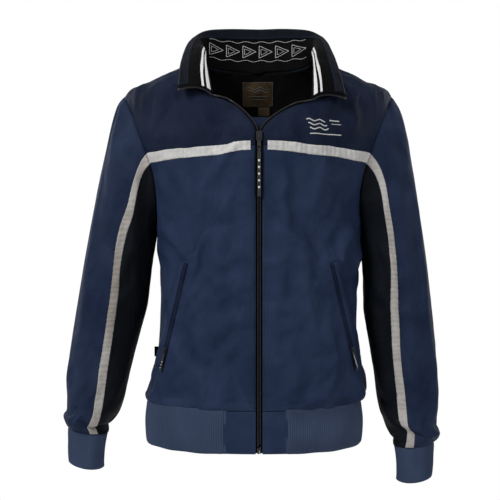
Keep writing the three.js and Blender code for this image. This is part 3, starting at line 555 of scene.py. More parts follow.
# Soft folds, as seen from the front or the back: face, path of (x, z), half-width and height.
FOLDS = [
    (-1, [(-95, -96), (-78, -114), (-52, -132)], 8, -5),
    (-1, [(-140, -110), (-118, -130), (-94, -150)], 9, -4),
    (-1, [(-196, -82), (-152, -108), (-118, -156)], 13, 5),
    (-1, [(-200, -120), (-165, -140), (-140, -160)], 9, 3),
    (-1, [(-176, -284), (-152, -325), (-126, -362)], 8, 6),
    (-1, [(-80, -276), (-99, -330), (-116, -396)], 9, 6),
    (-1, [(-62, -225), (-67, -340), (-56, -470)], 15, 6),
    (-1, [(-24, -195), (-29, -380), (-22, -570)], 8, 3),
    (-1, [(-184, -318), (-166, -358), (-176, -404)], 6, 4),
    (-1, [(-182, -395), (-160, -428), (-172, -470)], 6, 4),
    (-1, [(-188, -455), (-172, -490), (-180, -530)], 6, 4),
    (-1, [(-104, -430), (-92, -500), (-102, -585)], 15, 5),
    (-1, [(-54, -500), (-60, -550), (-50, -600)], 12, 4),
    (-1, [(41, -212), (46, -330), (36, -445)], 10, 6),
    (-1, [(80, -236), (72, -350), (86, -490)], 12, 6),
    (-1, [(22, -190), (28, -400), (21, -575)], 7, 3),
    (-1, [(176, -288), (150, -330), (136, -400)], 9, 7),
    (-1, [(188, -330), (168, -380), (180, -440)], 7, 5),
    (-1, [(186, -430), (172, -480), (184, -530)], 8, 5),
    (-1, [(92, -98), (108, -128), (122, -160)], 9, -4),
    (-1, [(196, -86), (168, -118), (150, -165)], 11, 5),
    (-1, [(124, -196), (102, -240), (94, -300)], 11, 4),
    (-1, [(-150, -192), (-120, -240), (-112, -300)], 12, 4),
    (-1, [(110, -470), (128, -530), (116, -590)], 13, 5),
    (-1, [(50, -500), (60, -550), (54, -600)], 11, 4),
    (-1, [(-256, -98), (-266, -150), (-262, -215)], 9, 6),
    (-1, [(-284, -140), (-306, -300), (-322, -500)], 9, 6),
    (-1, [(-262, -230), (-276, -330), (-296, -430)], 8, -4),
    (-1, [(-214, -318), (-244, -362), (-266, -430)], 9, 6),
    (-1, [(-220, -392), (-256, -430), (-276, -490)], 8, 5),
    (-1, [(-328, -560), (-330, -600), (-322, -656)], 8, 7),
    (-1, [(-300, -590), (-304, -620), (-302, -660)], 6, -5),
    (-1, [(-342, -500), (-346, -560), (-340, -630)], 8, 6),
    (-1, [(256, -98), (270, -150), (268, -215)], 9, 6),
    (-1, [(276, -160), (296, -300), (308, -470)], 9, 6),
    (-1, [(212, -318), (236, -362), (250, -430)], 9, 6),
    (-1, [(212, -400), (238, -440), (246, -500)], 8, 5),
    (-1, [(300, -590), (306, -640), (296, -680)], 7, 7),
    (-1, [(276, -620), (280, -650), (278, -684)], 6, -5),
    (-1, [(318, -520), (322, -590), (314, -660)], 8, 6),
    (1, [(-150, -120), (-110, -200), (-100, -330)], 15, 7),
    (1, [(150, -120), (112, -200), (96, -330)], 15, 7),
    (1, [(-40, -190), (-50, -330), (-36, -520)], 14, 6),
    (1, [(42, -200), (34, -330), (52, -500)], 14, 6),
    (1, [(-178, -290), (-140, -350), (-128, -450)], 12, 7),
    (1, [(178, -290), (144, -350), (132, -450)], 12, 7),
    (1, [(-90, -420), (-84, -500), (-96, -590)], 13, 6),
    (1, [(92, -420), (82, -500), (98, -590)], 13, 6),
    (1, [(-270, -150), (-300, -300), (-318, -480)], 11, 6),
    (1, [(270, -150), (290, -300), (302, -480)], 11, 6),
    (1, [(-215, -330), (-246, -370), (-280, -400)], 9, 6),
    (1, [(215, -330), (242, -370), (268, -400)], 9, 6),
]


def distance_to_path(points, path):
    """Distance of each point to a path in the x-z plane, and how far along the path it is, 0 to 1."""
    path = spline([(x, 0, z) for x, z in path], np.linspace(0, 1, 13))[:, [0, 2]]
    best = np.full(len(points), 1e9)
    along = np.zeros(len(points))
    for i, (start, end) in enumerate(zip(path[:-1], path[1:])):
        way = end - start
        share = np.clip((points - start) @ way / (way @ way), 0, 1)
        gap = np.linalg.norm(points - start - share[:, None] * way, axis=1)
        nearer = gap < best
        best[nearer] = gap[nearer]
        along[nearer] = (i + share[nearer]) / (len(path) - 1)
    return best, along


def border_distance(mesh):
    """Distance in millimetres of every vertex from the open edges of the cloth."""
    bm = bmesh.new()
    bm.from_mesh(mesh)
    edge = [vert.co.copy() for vert in bm.verts if vert.is_boundary]
    bm.free()
    tree = KDTree(len(edge))
    for i, place in enumerate(edge):
        tree.insert(place, i)
    tree.balance()
    return np.array([tree.find(vert.co)[2] for vert in mesh.vertices]) / MM


def pocket_distance(co):
    """Distance of points of the front from the nearer pocket opening, in the front view, millimetres."""
    found = np.full(len(co), 1e9)
    for sign in SIDES.values():
        path = [(sign * pocket_top[0], pocket_top[1]),
                (sign * (pocket_top[0] + pocket_bottom[0]) / 2, (pocket_top[1] + pocket_bottom[1]) / 2),
                (sign * pocket_bottom[0], pocket_bottom[1])]
        gap, _ = distance_to_path(co[:, [0, 2]], path)
        found = np.minimum(found, np.where(co[:, 1] < -100, gap, 1e9))
    return found


def beside_zip(co):
    """Distance of points of the front from the zip, in the front view, millimetres."""
    found = np.full(len(co), 1e9)
    for side in SIDES:
        edge, _ = open_edge(side, np.linspace(0, 1, 5))
        for path in ([(0, hem_z), (0, -400), (0, zip_top_z)], edge):
            gap, _ = distance_to_path(co[:, [0, 2]], path)
            found = np.minimum(found, np.where(co[:, 1] < -100, gap, 1e9))
    return found


def lay_folds(shell, border):
    mesh = shell.data
    co, n = coordinates(mesh) / MM, normals(mesh)
    free = ease(border / 26) * ease((pocket_distance(co) - 8) / 22)
    height = np.zeros(len(co))
    on_front = np.where(n[:, 1] < 0.35, -1, 1)
    for face, path, width, rise in FOLDS:
        gap, along = distance_to_path(co[:, [0, 2]], path)
        taper = np.sin(math.pi * np.clip(along, 0.02, 0.98)) ** 0.7
        ridge = np.exp(-(gap / width) ** 2) - 0.45 * np.exp(-((gap - 2.1 * width) / width) ** 2)
        height += 1.4 * rise * ridge * taper * (on_front == face)
    # The crumple of thin nylon: fine ridges where a slow noise passes through nought.
    crumple = np.array([noise.noise(Vector((x * 0.034, y * 0.034, z * 0.026))) for x, y, z in co])
    height += 6.5 * (0.2 - np.abs(crumple))
    # Gathers where the shell is sewn to the narrower bands.
    turn = np.arctan2(co[:, 1] + 95, co[:, 0])
    gather = np.sin(turn * 34 + 3 * np.sin(turn * 5)) * (0.7 + 0.3 * np.sin(turn * 13))
    away = (co[:, 2] - waist_z) / 30
    band = np.exp(-away ** 2) * (np.abs(co[:, 0]) < 215) * ease((np.abs(co[:, 0]) - 25) / 40)
    height += 2.6 * gather * band * (away > 0.05)
    mesh_co = co + n * (height * free)[:, None]
    set_coordinates(mesh, mesh_co * MM)


def drape(shell, border, rest):
    """Lets the cloth settle: a little too much cloth, held at its seams, so that it creases by itself."""
    co = rest / MM
    pin = 0.05 + 0.5 * ease((co[:, 2] + 110) / 60)
    pin = np.maximum(pin, 0.55 * (1 - ease((pocket_distance(co) - 8) / 18)))
    pin = np.maximum(pin, 0.10 * (1 - ease(np.abs(co[:, 2] - chest_tape_z) / 14)))
    pin = np.maximum(pin, 0.95 * (1 - ease((beside_zip(co) - 26) / 16)))
    pin = np.where(border < 0.5, 1, np.maximum(pin, 0.5 * (1 - ease(border / 14))))
    group = shell.vertex_groups.new(name="held")
    for i, weight in enumerate(pin):
        group.add([i], float(weight), "REPLACE")
    cloth = shell.modifiers.new("settle", "CLOTH")
    settings = cloth.settings
    settings.quality = 6
    settings.mass = 0.2
    settings.air_damping = 4
    settings.tension_stiffness = 12
    settings.compression_stiffness = 12
    settings.shear_stiffness = 6
    settings.bending_stiffness = 0.35
    settings.tension_damping = settings.compression_damping = settings.shear_damping = 8
    settings.bending_damping = 2
    settings.vertex_group_mass = "held"
    settings.pin_stiffness = 0.6
    settings.shrink_min = -0.035
    settings.effector_weights.gravity = 0.35
    cloth.collision_settings.use_collision = False
    cloth.collision_settings.use_self_collision = False
    scene = bpy.context.scene
    scene.frame_start, scene.frame_end = 1, last_frame
    cloth.point_cache.frame_start, cloth.point_cache.frame_end = 1, last_frame
    for number in range(1, last_frame + 1):
        scene.frame_set(number)
    with_modifiers(shell)
    settled = coordinates(shell.data)
    move = settled - rest
    far = np.linalg.norm(move, axis=1, keepdims=True)
    cap = 16 * MM
    set_coordinates(shell.data, rest + move * cap * np.tanh(far / cap) / np.maximum(far, 1e-9))
    scene.frame_set(1)


def make_shell():
    """The sewn shell in its folds, and the same shell before any fold, whose faces give the flat cuts."""
    shell = sewn_shell()
    bm = bmesh.new()
    bm.from_mesh(shell.data)
    plain = mesh_object("plain_shell", bm)
    rest = coordinates(shell.data)
    border = border_distance(shell.data)
    lay_folds(shell, border)
    drape(shell, border, rest)
    return subdivide(shell), subdivide(plain)


# ---------------------------------------------------------------- pieces cut from the shell


def cut_out(shell, wanted):
    """The wanted faces of the shell; their vertices keep the shell's own normals."""
    bm = bmesh.new()
    bm.from_mesh(shell.data)
    bmesh.ops.delete(bm, geom=[face for face in bm.faces if not wanted(face)], context="FACES")
    for face in bm.faces:
        face.material_index = 0
    return bm


def move_out(bm, distance, edge=0.0):
    """Moves vertices along their normals, and those of the open edge by edge more, in millimetres."""
    for vert in bm.verts:
        vert.co += vert.normal * (distance + (edge if vert.is_boundary else 0)) * MM


def faces_of(*names, taped_only=False):
    numbers = {panel_number(name, taped) for name in names for taped in ((1,) if taped_only else (0, 1))}
    return lambda face: face.material_index in numbers

# ---------------------------------------------------------------- finishes


def node_group(name, inputs, outputs):
    """A shader group; inputs and outputs are (label, socket type, default) and (label, socket type)."""
    group = bpy.data.node_groups.new(name, "ShaderNodeTree")
    for label, kind, default in inputs:
        socket = group.interface.new_socket(label, in_out="INPUT", socket_type="NodeSocket" + kind)
        if default is not None:
            socket.default_value = default
    for label, kind in outputs:
        group.interface.new_socket(label, in_out="OUTPUT", socket_type="NodeSocket" + kind)
    return group, group.nodes.new("NodeGroupInput"), group.nodes.new("NodeGroupOutput")


def math_node(tree, operation, a, b=None):
    node = tree.nodes.new("ShaderNodeMath")
    node.operation = operation
    for socket, value in zip(node.inputs, (a, b)):
        if value is None:
            continue
        if isinstance(value, (int, float)):
            socket.default_value = value
        else:
            tree.links.new(value, socket)
    return node.outputs[0]


def weave_group():
    """Plain weave: threads that rise and sink by turns, as a height from 0 to 1."""
    group, given, made = node_group("woven_threads", [
        ("Vector", "Vector", None), ("Warp", "Float", 900.0),
        ("Weft", "Float", 900.0)], [("Height", "Float")])
    split = group.nodes.new("ShaderNodeSeparateXYZ")
    group.links.new(given.outputs["Vector"], split.inputs[0])
    waves = []
    for axis, density in (("X", "Warp"), ("Y", "Weft")):
        turns = math_node(group, "MULTIPLY", split.outputs[axis], given.outputs[density])
        waves.append(math_node(group, "SINE", math_node(group, "MULTIPLY", turns, 2 * math.pi)))
    product = math_node(group, "MULTIPLY", *waves)
    height = math_node(group, "ADD", math_node(group, "MULTIPLY", product, 0.5), 0.5)
    group.links.new(height, made.inputs["Height"])
    return group


def crease_group():
    """Uneven wear: a slow change of tone, and fine soft creases as a height."""
    group, given, made = node_group("tone_and_creases", [
        ("Vector", "Vector", None), ("Tone Scale", "Float", 7.0), ("Crease Scale", "Float", 45.0)],
        [("Tone", "Float"), ("Crease", "Float")])
    for label, detail, stretch in (("Tone", 4.0, (1, 1, 1)), ("Crease", 6.0, (1, 1, 0.5))):
        mapping = group.nodes.new("ShaderNodeMapping")
        mapping.inputs["Scale"].default_value = stretch
        group.links.new(given.outputs["Vector"], mapping.inputs["Vector"])
        texture = group.nodes.new("ShaderNodeTexNoise")
        texture.inputs["Detail"].default_value = detail
        texture.inputs["Distortion"].default_value = 0.6
        group.links.new(mapping.outputs[0], texture.inputs["Vector"])
        group.links.new(given.outputs[label + " Scale"], texture.inputs["Scale"])
        group.links.new(texture.outputs["Fac"], made.inputs[label])
    return group


def stripe_group():
    """Two stripes that run along a ribbon, as a mask; places and width in metres across the ribbon."""
    group, given, made = node_group("two_stripes", [
        ("Vector", "Vector", None), ("First", "Float", 0.007), ("Second", "Float", 0.018),
        ("Half Width", "Float", 0.003)], [("Mask", "Float")])
    split = group.nodes.new("ShaderNodeSeparateXYZ")
    group.links.new(given.outputs["Vector"], split.inputs[0])
    masks = []
    for place in ("First", "Second"):
        away = math_node(group, "SUBTRACT", split.outputs["Y"], given.outputs[place])
        gap = math_node(group, "ABSOLUTE", away)
        masks.append(math_node(group, "LESS_THAN", gap, given.outputs["Half Width"]))
    group.links.new(math_node(group, "MAXIMUM", *masks), made.inputs["Mask"])
    return group


GROUPS = {}


def new_material(name):
    material = bpy.data.materials.new(name)
    material.use_nodes = True
    tree = material.node_tree
    return material, tree, tree.nodes["Principled BSDF"]


def plain_material(name, color, roughness):
    material, _, shader = new_material(name)
    shader.inputs["Base Color"].default_value = (*color, 1)
    shader.inputs["Roughness"].default_value = roughness
    return material


def placed_group(tree, name, vector, **values):
    node = tree.nodes.new("ShaderNodeGroup")
    node.node_tree = GROUPS[name]
    tree.links.new(vector, node.inputs["Vector"])
    for label, value in values.items():
        node.inputs[label.replace("_", " ")].default_value = value
    return node


def mix_color(tree, factor, a, b):
    node = tree.nodes.new("ShaderNodeMix")
    node.data_type = "RGBA"
    tree.links.new(factor, node.inputs[0])
    for socket, value in ((node.inputs[6], a), (node.inputs[7], b)):
        if isinstance(value, tuple):
            socket.default_value = (*value, 1)
        else:
            tree.links.new(value, socket)
    return node.outputs[2]


def map_range(tree, value, low, high, start=0.3, end=0.7):
    node = tree.nodes.new("ShaderNodeMapRange")
    node.inputs["From Min"].default_value = start
    node.inputs["From Max"].default_value = end
    node.inputs["To Min"].default_value = low
    node.inputs["To Max"].default_value = high
    tree.links.new(value, node.inputs["Value"])
    return node.outputs[0]


def bump(tree, height, distance, strength=1.0, before=None):
    node = tree.nodes.new("ShaderNodeBump")
    node.inputs["Distance"].default_value = distance
    node.inputs["Strength"].default_value = strength
    tree.links.new(height, node.inputs["Height"])
    if before is not None:
        tree.links.new(before, node.inputs["Normal"])
    return node.outputs[0]


def fabric(name, dark, light, warp, weft, depth, roughness, sheen=0.0, crease=0.0, tone_scale=7.0,
           crease_scale=45.0, stripes=None, specular=0.02):
    """Woven or knitted cloth: colours from dark to light, threads per metre, depths in metres."""
    material, tree, shader = new_material(name)
    place = tree.nodes.new("ShaderNodeTexCoord")
    uneven = placed_group(tree, "creases", place.outputs["Object"], Tone_Scale=tone_scale,
                          Crease_Scale=crease_scale)
    weave = placed_group(tree, "weave", place.outputs["UV"], Warp=float(warp), Weft=float(weft))
    tone = map_range(tree, uneven.outputs["Tone"], 0.0, 1.0)
    color = mix_color(tree, tone, dark, light)
    # The weave's low spots darken the colour: painted shade between the threads.
    thread = map_range(tree, weave.outputs["Height"], 0.82, 1.0, 0.0, 1.0)
    shade = tree.nodes.new("ShaderNodeMix")
    shade.data_type = "RGBA"
    shade.blend_type = "MULTIPLY"
    shade.inputs[0].default_value = 1.0
    tree.links.new(color, shade.inputs[6])
    tree.links.new(thread, shade.inputs[7])
    color = shade.outputs[2]
    if stripes:
        mask = placed_group(tree, "stripes", place.outputs["UV"], First=stripes[0], Second=stripes[1],
                            Half_Width=stripes[2])
        color = mix_color(tree, mask.outputs["Mask"], color, stripes[3])
    tree.links.new(color, shader.inputs["Base Color"])
    tree.links.new(map_range(tree, uneven.outputs["Crease"], roughness - 0.06, roughness + 0.06),
                   shader.inputs["Roughness"])
    normal = bump(tree, uneven.outputs["Crease"], crease) if crease else None
    tree.links.new(bump(tree, weave.outputs["Height"], depth, 0.8, normal), shader.inputs["Normal"])
    shader.inputs["Sheen Weight"].default_value = sheen
    shader.inputs["Sheen Roughness"].default_value = 0.45
    shader.inputs["Specular IOR Level"].default_value = specular
    return material


def moulded(name, color, roughness, metallic=0.0, wear=0.0):
    """Moulded plastic or enamelled metal, with a fine grain and slightly rubbed high spots."""
    material, tree, shader = new_material(name)
    place = tree.nodes.new("ShaderNodeTexCoord")
    uneven = placed_group(tree, "creases", place.outputs["Object"], Tone_Scale=220.0, Crease_Scale=1800.0)
    tone = map_range(tree, uneven.outputs["Tone"], 0.0, 1.0)
    light = tuple(min(1.0, channel * 1.5 + wear) for channel in color)
    tree.links.new(mix_color(tree, tone, color, light), shader.inputs["Base Color"])
    tree.links.new(map_range(tree, uneven.outputs["Tone"], roughness - 0.08, roughness + 0.1),
                   shader.inputs["Roughness"])
    tree.links.new(bump(tree, uneven.outputs["Crease"], 0.00004, 0.6), shader.inputs["Normal"])
    shader.inputs["Metallic"].default_value = metallic
    shader.inputs["Specular IOR Level"].default_value = 0.25
    return material


FINISH = {}


def make_finishes():
    GROUPS.update(weave=weave_group(), creases=crease_group(), stripes=stripe_group())
    navy = dict(warp=1500, weft=1300, depth=0.00012, roughness=0.62, crease=0.0055, crease_scale=34,
                tone_scale=16)
    # One navy nylon in lit and shaded copies: the lower copy is painted light, the upper copy is painted
    # shade, and the sleeve copy is a painted tone between them. The colours stand in for how the light falls,
    # not for different cloth.
    FINISH.update(
        upper=fabric("navy_nylon_painted_shade_upper", (0.0020, 0.0036, 0.0090), (0.0042, 0.0066, 0.0150), **navy),
        lower=fabric("navy_nylon_painted_light_lower", (0.0046, 0.0084, 0.0205), (0.0084, 0.0138, 0.0305), **navy),
        sleeve=fabric("navy_nylon_sleeve", (0.0032, 0.0060, 0.0150), (0.0074, 0.0118, 0.0255), **navy),
        # Under-sleeve copy, near black: mostly painted shade where the sleeve hangs against the body, and
        # partly a darker panel.
        dark=fabric("navy_nylon_under_painted_shade", (0.0012, 0.0017, 0.0026), (0.0024, 0.0031, 0.0046), **navy),
        # Collar copy of the same nylon, darker: painted shade.
        collar=fabric("navy_nylon_collar_painted_shade", (0.0010, 0.0015, 0.0030), (0.0022, 0.0031, 0.0056), **navy),
        lining=fabric("black_lining", (0.0003, 0.0003, 0.0004), (0.0008, 0.0008, 0.0009),
                      1700, 1700, 0.00008, 0.7,
                      crease=0.0015, specular=0.02),
        knit=fabric("navy_rib_knit", (0.0120, 0.0180, 0.0350), (0.0190, 0.0270, 0.0490),
                    620, 470, 0.00035, 0.86,
                    sheen=0.01),
        tape=fabric("pale_ribbed_tape", (0.18, 0.178, 0.174), (0.235, 0.232, 0.228), 640, 1500, 0.00018, 0.55,
                    crease=0.0006, tone_scale=30, crease_scale=130, specular=0.2),
        sleeve_tape=fabric("worn_ribbed_tape", (0.085, 0.076, 0.068), (0.19, 0.182, 0.176),
                           640, 1500, 0.00018,
                           0.55, crease=0.0006, tone_scale=9, crease_scale=130, specular=0.2),
        ribbon=fabric("striped_ribbon", (0.0012, 0.0012, 0.0014), (0.0025, 0.0025, 0.0028),
                      500, 1400, 0.00016, 0.6,
                      stripes=(0.0065, 0.0190, 0.0037, (0.26, 0.26, 0.255))),
        zip_tape=fabric("zip_tape", (0.0010, 0.0010, 0.0012), (0.0022, 0.0022, 0.0026),
                        1100, 700, 0.0002, 0.75),
        label=fabric("brown_label", (0.0060, 0.0040, 0.0022), (0.026, 0.0175, 0.0090),
                     1300, 1300, 0.0001, 0.7,
                     crease=0.002, tone_scale=60),
        size_label=fabric("light_brown_label", (0.022, 0.015, 0.0095), (0.035, 0.024, 0.0155), 1300, 1300,
                          0.0001, 0.7),
        thread=fabric("navy_thread", (0.0090, 0.0130, 0.0230), (0.0150, 0.0200, 0.0330),
                      2500, 2500, 0.0001, 0.6),
        pale_thread=fabric("pale_thread", (0.19, 0.19, 0.185), (0.26, 0.26, 0.255), 2500, 900, 0.0001, 0.5),
        grey_thread=fabric("grey_thread", (0.035, 0.040, 0.047), (0.060, 0.066, 0.074),
                           2500, 900, 0.0001, 0.5),
        plastic=moulded("black_plastic", (0.0030, 0.0030, 0.0036), 0.42),
        enamel=moulded("black_enamel", (0.0050, 0.0050, 0.0055), 0.32, 0.2, 0.002),
        print=moulded("white_print", (0.20, 0.20, 0.195), 0.5),
    )


def finish_piece(piece, finish, body, *nodes, slot=None):
    """Gives a finished piece its material, hides the solids that it stands for, and parents it to its body;
    sleeve pieces only have their placement baked in.
    """
    piece.data.materials.clear()
    piece.data.materials.append(FINISH[finish])
    if nodes:
        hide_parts(*nodes)
    if body in ("R_sleeve", "L_sleeve"):
        sleeve_blend(piece)
    else:
        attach(piece, body)
    return piece


def sleeve_blend(piece):
    """Bakes the piece's placement into its mesh; the piece is given no body."""
    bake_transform(piece)


# ---------------------------------------------------------------- pieces of the shell


def grid_area(points):
    """Area of a grid of points."""
    a = np.cross(points[1:, 1:] - points[:-1, :-1], points[:-1, 1:] - points[1:, :-1])
    return 0.5 * np.linalg.norm(a, axis=-1).sum()


def grid_cut(points):
    """Longest row, longest column and area of a grid of points that isn't creased yet."""
    run = lengths(points)
    return run[:, -1, 0].max(), run[-1, :, 1].max(), grid_area(points)


def face_area(bm):
    return sum(face.calc_area() for face in bm.faces) / MM / MM


def flat_cut(wanted):
    """Widest row, length and area of the cut of these faces, measured on the shell before any fold."""
    bm = cut_out(plain_shell, wanted)
    layer = bm.loops.layers.uv.active
    spots = np.array([loop[layer].uv for face in bm.faces for loop in face.loops]) / MM
    rows = np.round(spots[:, 1] / 12)
    width = max(np.ptp(spots[rows == row, 0]) for row in np.unique(rows))
    return width, np.ptp(spots[:, 1]), face_area(bm)


def panel_piece(shell, name, finish, body, slot):
    bm = cut_out(shell, faces_of(name))
    move_out(bm, 0, -0.7)
    piece = thicken(mesh_object(name + "_cloth", bm), 1.6)
    finish_piece(piece, finish, body, name, slot=slot)
    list(flat_cut(faces_of(name)))
    return piece


def lining_piece(shell, node, names, body, depth=3.4, clear=None):
    of_names = faces_of(*names)
    wanted = lambda face: of_names(face) and (clear is None or clear(face))
    bm = cut_out(shell, wanted)
    move_out(bm, -depth)
    piece = thicken(mesh_object(node + "_cloth", bm), 0.9)
    finish_piece(piece, "lining", body, node, slot="lining")
    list(flat_cut(wanted))


def taped_faces(shell, names, sign, start):
    """The faces that a tape lies on; they may stop at start from the zip."""
    bm = cut_out(shell, faces_of(*names, taped_only=True))
    if start:
        bmesh.ops.bisect_plane(bm, geom=bm.verts[:] + bm.edges[:] + bm.faces[:],
                               plane_co=(sign * start * MM, 0, 0), plane_no=(-sign, 0, 0), clear_outer=True)
    return bm


def tape_piece(shell, node, names, body, finish, start):
    """A ribbed tape that lies on the panels, puckered by its stitching; it may stop at start from the zip."""
    sign = SIDES[node[0]]
    area = face_area(taped_faces(plain_shell, names, sign, start))
    bm = taped_faces(shell, names, sign, start)
    bmesh.ops.subdivide_edges(bm, edges=bm.edges, cuts=1, use_grid_fill=True, smooth=0.0)
    bm.normal_update()
    for vert in bm.verts:
        spot = vert.co * 1000
        run = spot.x if start else spot.z
        pucker = 0.45 * math.sin(run * 0.75 + 1.5 * math.sin(run * 0.11))
        pucker += 0.8 * noise.noise(Vector((spot.x * 0.12, spot.y * 0.05, spot.z * 0.12)))
        vert.co += vert.normal * (1.15 + pucker - (0.45 if vert.is_boundary else 0)) * MM
    piece = thicken(mesh_object(node + "_cloth", bm), 0.8)
    finish_piece(piece, finish, body, node, slot="pale_tape")


def make_panels(shell):
    for side in SIDES:
        sleeve = side + "_sleeve"
        # The front panels take the painted-light lower copy below and the painted-shade upper copy above; the
        # sleeves take the painted mid-tone copy.
        panel_piece(shell, side + "_front_lower", "lower", "jacket", "shell")
        panel_piece(shell, side + "_front_upper", "upper", "jacket", "shell")
        panel_piece(shell, sleeve + "_over", "sleeve", sleeve, "shell")
        # The under panel takes the near-black copy, which is mostly painted shade.
        panel_piece(shell, sleeve + "_under", "dark", sleeve, "shell")
        tape_piece(shell, side + "_chest_tape", (side + "_front_lower", side + "_front_upper"), "jacket",
                   "tape", chest_tape_start)
        tape_piece(shell, side + "_sleeve_tape", (sleeve + "_over", sleeve + "_under"), sleeve,
                   "sleeve_tape", None)
        lining_piece(shell, side + "_front_lining", (side + "_front_lower", side + "_front_upper"), "jacket",
                     clear=lambda face: zip_gap(face.calc_center_median()) > 12)
        lining_piece(shell, sleeve + "_lining", (sleeve + "_over", sleeve + "_under"), sleeve)
    # The back likewise: painted light on the lower panel, painted shade on the yoke.
    panel_piece(shell, "back_panel", "lower", "jacket", "shell")
    panel_piece(shell, "back_yoke", "upper", "jacket", "shell")
    lining_piece(shell, "back_lining", ("back_panel", "back_yoke"), "jacket")


zip_lines = {side: np.vstack([[(0, hem_z), (0, zip_top_z)], open_edge(side, np.linspace(0, 1, 20))[0][1:]])
             for side in SIDES}


def zip_gap(place):
    """Distance of a point from the zip's middle line in the front view, millimetres."""
    line = zip_lines["R" if place.x < 0 else "L"] * (SIDES["R" if place.x < 0 else "L"], 1)
    spot = np.array([place.x, place.z]) / MM
    return min(np.linalg.norm(a + (b - a) * np.clip((spot - a) @ (b - a) / ((b - a) @ (b - a)), 0, 1) - spot)
               for a, b in zip(line[:-1], line[1:]))


# ---------------------------------------------------------------- rib-knit bands


def even_spacing(points, gap):
    """Positions, as indices into points, that lie about gap apart."""
    run = np.concatenate([[0], np.cumsum(np.linalg.norm(np.diff(points, axis=0), axis=1))])
    count = round(run[-1] / gap)
    return np.interp(np.linspace(0, run[-1], count + 1), run, np.arange(len(points)))


def smooth_rows(values, at):
    """Rows of points resampled at fractional column positions."""
    k = np.clip(at.astype(int), 0, values.shape[1] - 2)
    u = (at - k)[None, :, None]
    return values[:, k] * (1 - u) + values[:, k + 1] * u


def knit_ridges(count, wale=4):
    """Height of a rib knit across its columns: rounded ribs with narrow furrows between them."""
    phase = np.arange(count) % wale / wale
    return np.abs(np.sin(np.pi * phase)) ** 0.6


def make_waist_rib():
    heights = np.linspace(hem_z, waist_z + 3, 21)
    rings = []
    for z in heights:
        level = min(z, waist_z)
        half = {}
        for side, sign in SIDES.items():
            start = turn_at_x(sign, tab_width[side] - 5, waist_z)
            front = body_point(sign, -1, np.linspace(start, 0, 260), level)
            back = body_point(sign, 1, np.linspace(0, quarter, 260)[1:], level)
            half[side] = np.vstack([front, back])
        ring = np.vstack([half["R"], half["L"][::-1][1:]])
        ring[:, 2] = z
        rings.append(ring)
    rings = np.array(rings)
    at = even_spacing(rings[10], 0.92)
    points = smooth_rows(rings, at)
    cut = grid_cut(points)
    along = unit(np.gradient(points, axis=1))
    out = np.stack([along[..., 1], -along[..., 0], 0 * along[..., 0]], -1)
    f = np.linspace(0, 1, len(heights))[:, None]
    run = np.arange(points.shape[1]) * 0.92
    ridge = 0.75 * knit_ridges(points.shape[1])[None, :] * np.sin(np.pi * np.clip(f, 0.03, 0.97)) ** 0.25
    wave = 2.0 * np.sin(run / 38 + 1.2 * np.sin(run / 71))[None, :] * np.sin(np.pi * f) ** 0.7
    bulge = 2.5 * np.sin(np.pi * np.clip(f * 1.05, 0, 1)) ** 0.6 - 1.0
    ends = ease(np.minimum(run, run[-1] - run) / 25)[None, :]
    outside = np.sum(out[10] * (points[10] - points[10].mean(0)), -1).mean() > 0
    sign = 1 if outside else -1
    under = 1.6 * (1 - ease((np.minimum(run, run[-1] - run) - 4) / 3))[None, :]
    points = points + sign * out * ((wave + bulge) * ends + ridge - 0.9 - under)[..., None]
    points[:, :, 2] += 0.5 * np.sin(run / 9)[None, :] * ends * (f < 0.05)
    bm = grid(points, flip=sign > 0)
    piece = thicken(mesh_object("waist_rib_knit", bm), 2.6)
    orient(piece)
    finish_piece(piece, "knit", "jacket", "waist_rib", slot="rib_knit")


def orient(piece):
    """Turns a closed piece's faces outwards."""
    bm = bmesh.new()
    bm.from_mesh(piece.data)
    bmesh.ops.recalc_face_normals(bm, faces=bm.faces)
    bm.to_mesh(piece.data)
    bm.free()


def make_cuffs():
    for side in SIDES:
        plain = tube(side, cuff_rings)
        w = np.linspace(0, len(cuff_rings) - 1, 20)[:, None]
        angle = np.linspace(0, 2 * math.pi, 241)[None, :]
        points = plain(angle, w, 1.0)
        cut = grid_cut(points)
        centre = points[:, :-1].mean(1, keepdims=True)
        out = unit(points - centre)
        f = np.linspace(0, 1, 20)[:, None]
        ridge = 0.8 * knit_ridges(241)[None, :] * np.sin(np.pi * np.clip(f, 0.04, 0.96)) ** 0.3
        wave = (1.6 * np.sin(3 * angle + 0.7) + 0.8 * np.sin(7 * angle)) * np.sin(np.pi * f) ** 0.8
        flare = 1.5 * f ** 2
        points = points + out * (ridge + wave + flare - 1.0)[..., None]
        points[0] += (0, 0, 2.5)
        points[0] -= out[0] * 2
        points[-1, :, 2] += (1.2 * np.sin(2 * angle + 1.0))[0]
        bm = grid(points)
        bmesh.ops.remove_doubles(bm, verts=bm.verts, dist=0.01 * MM)
        bmesh.ops.recalc_face_normals(bm, faces=bm.faces)
        piece = thicken(mesh_object(side + "_cuff_knit", bm), 2.4)
        orient(piece)
        finish_piece(piece, "knit", side + "_sleeve", side + "_cuff", slot="rib_knit")


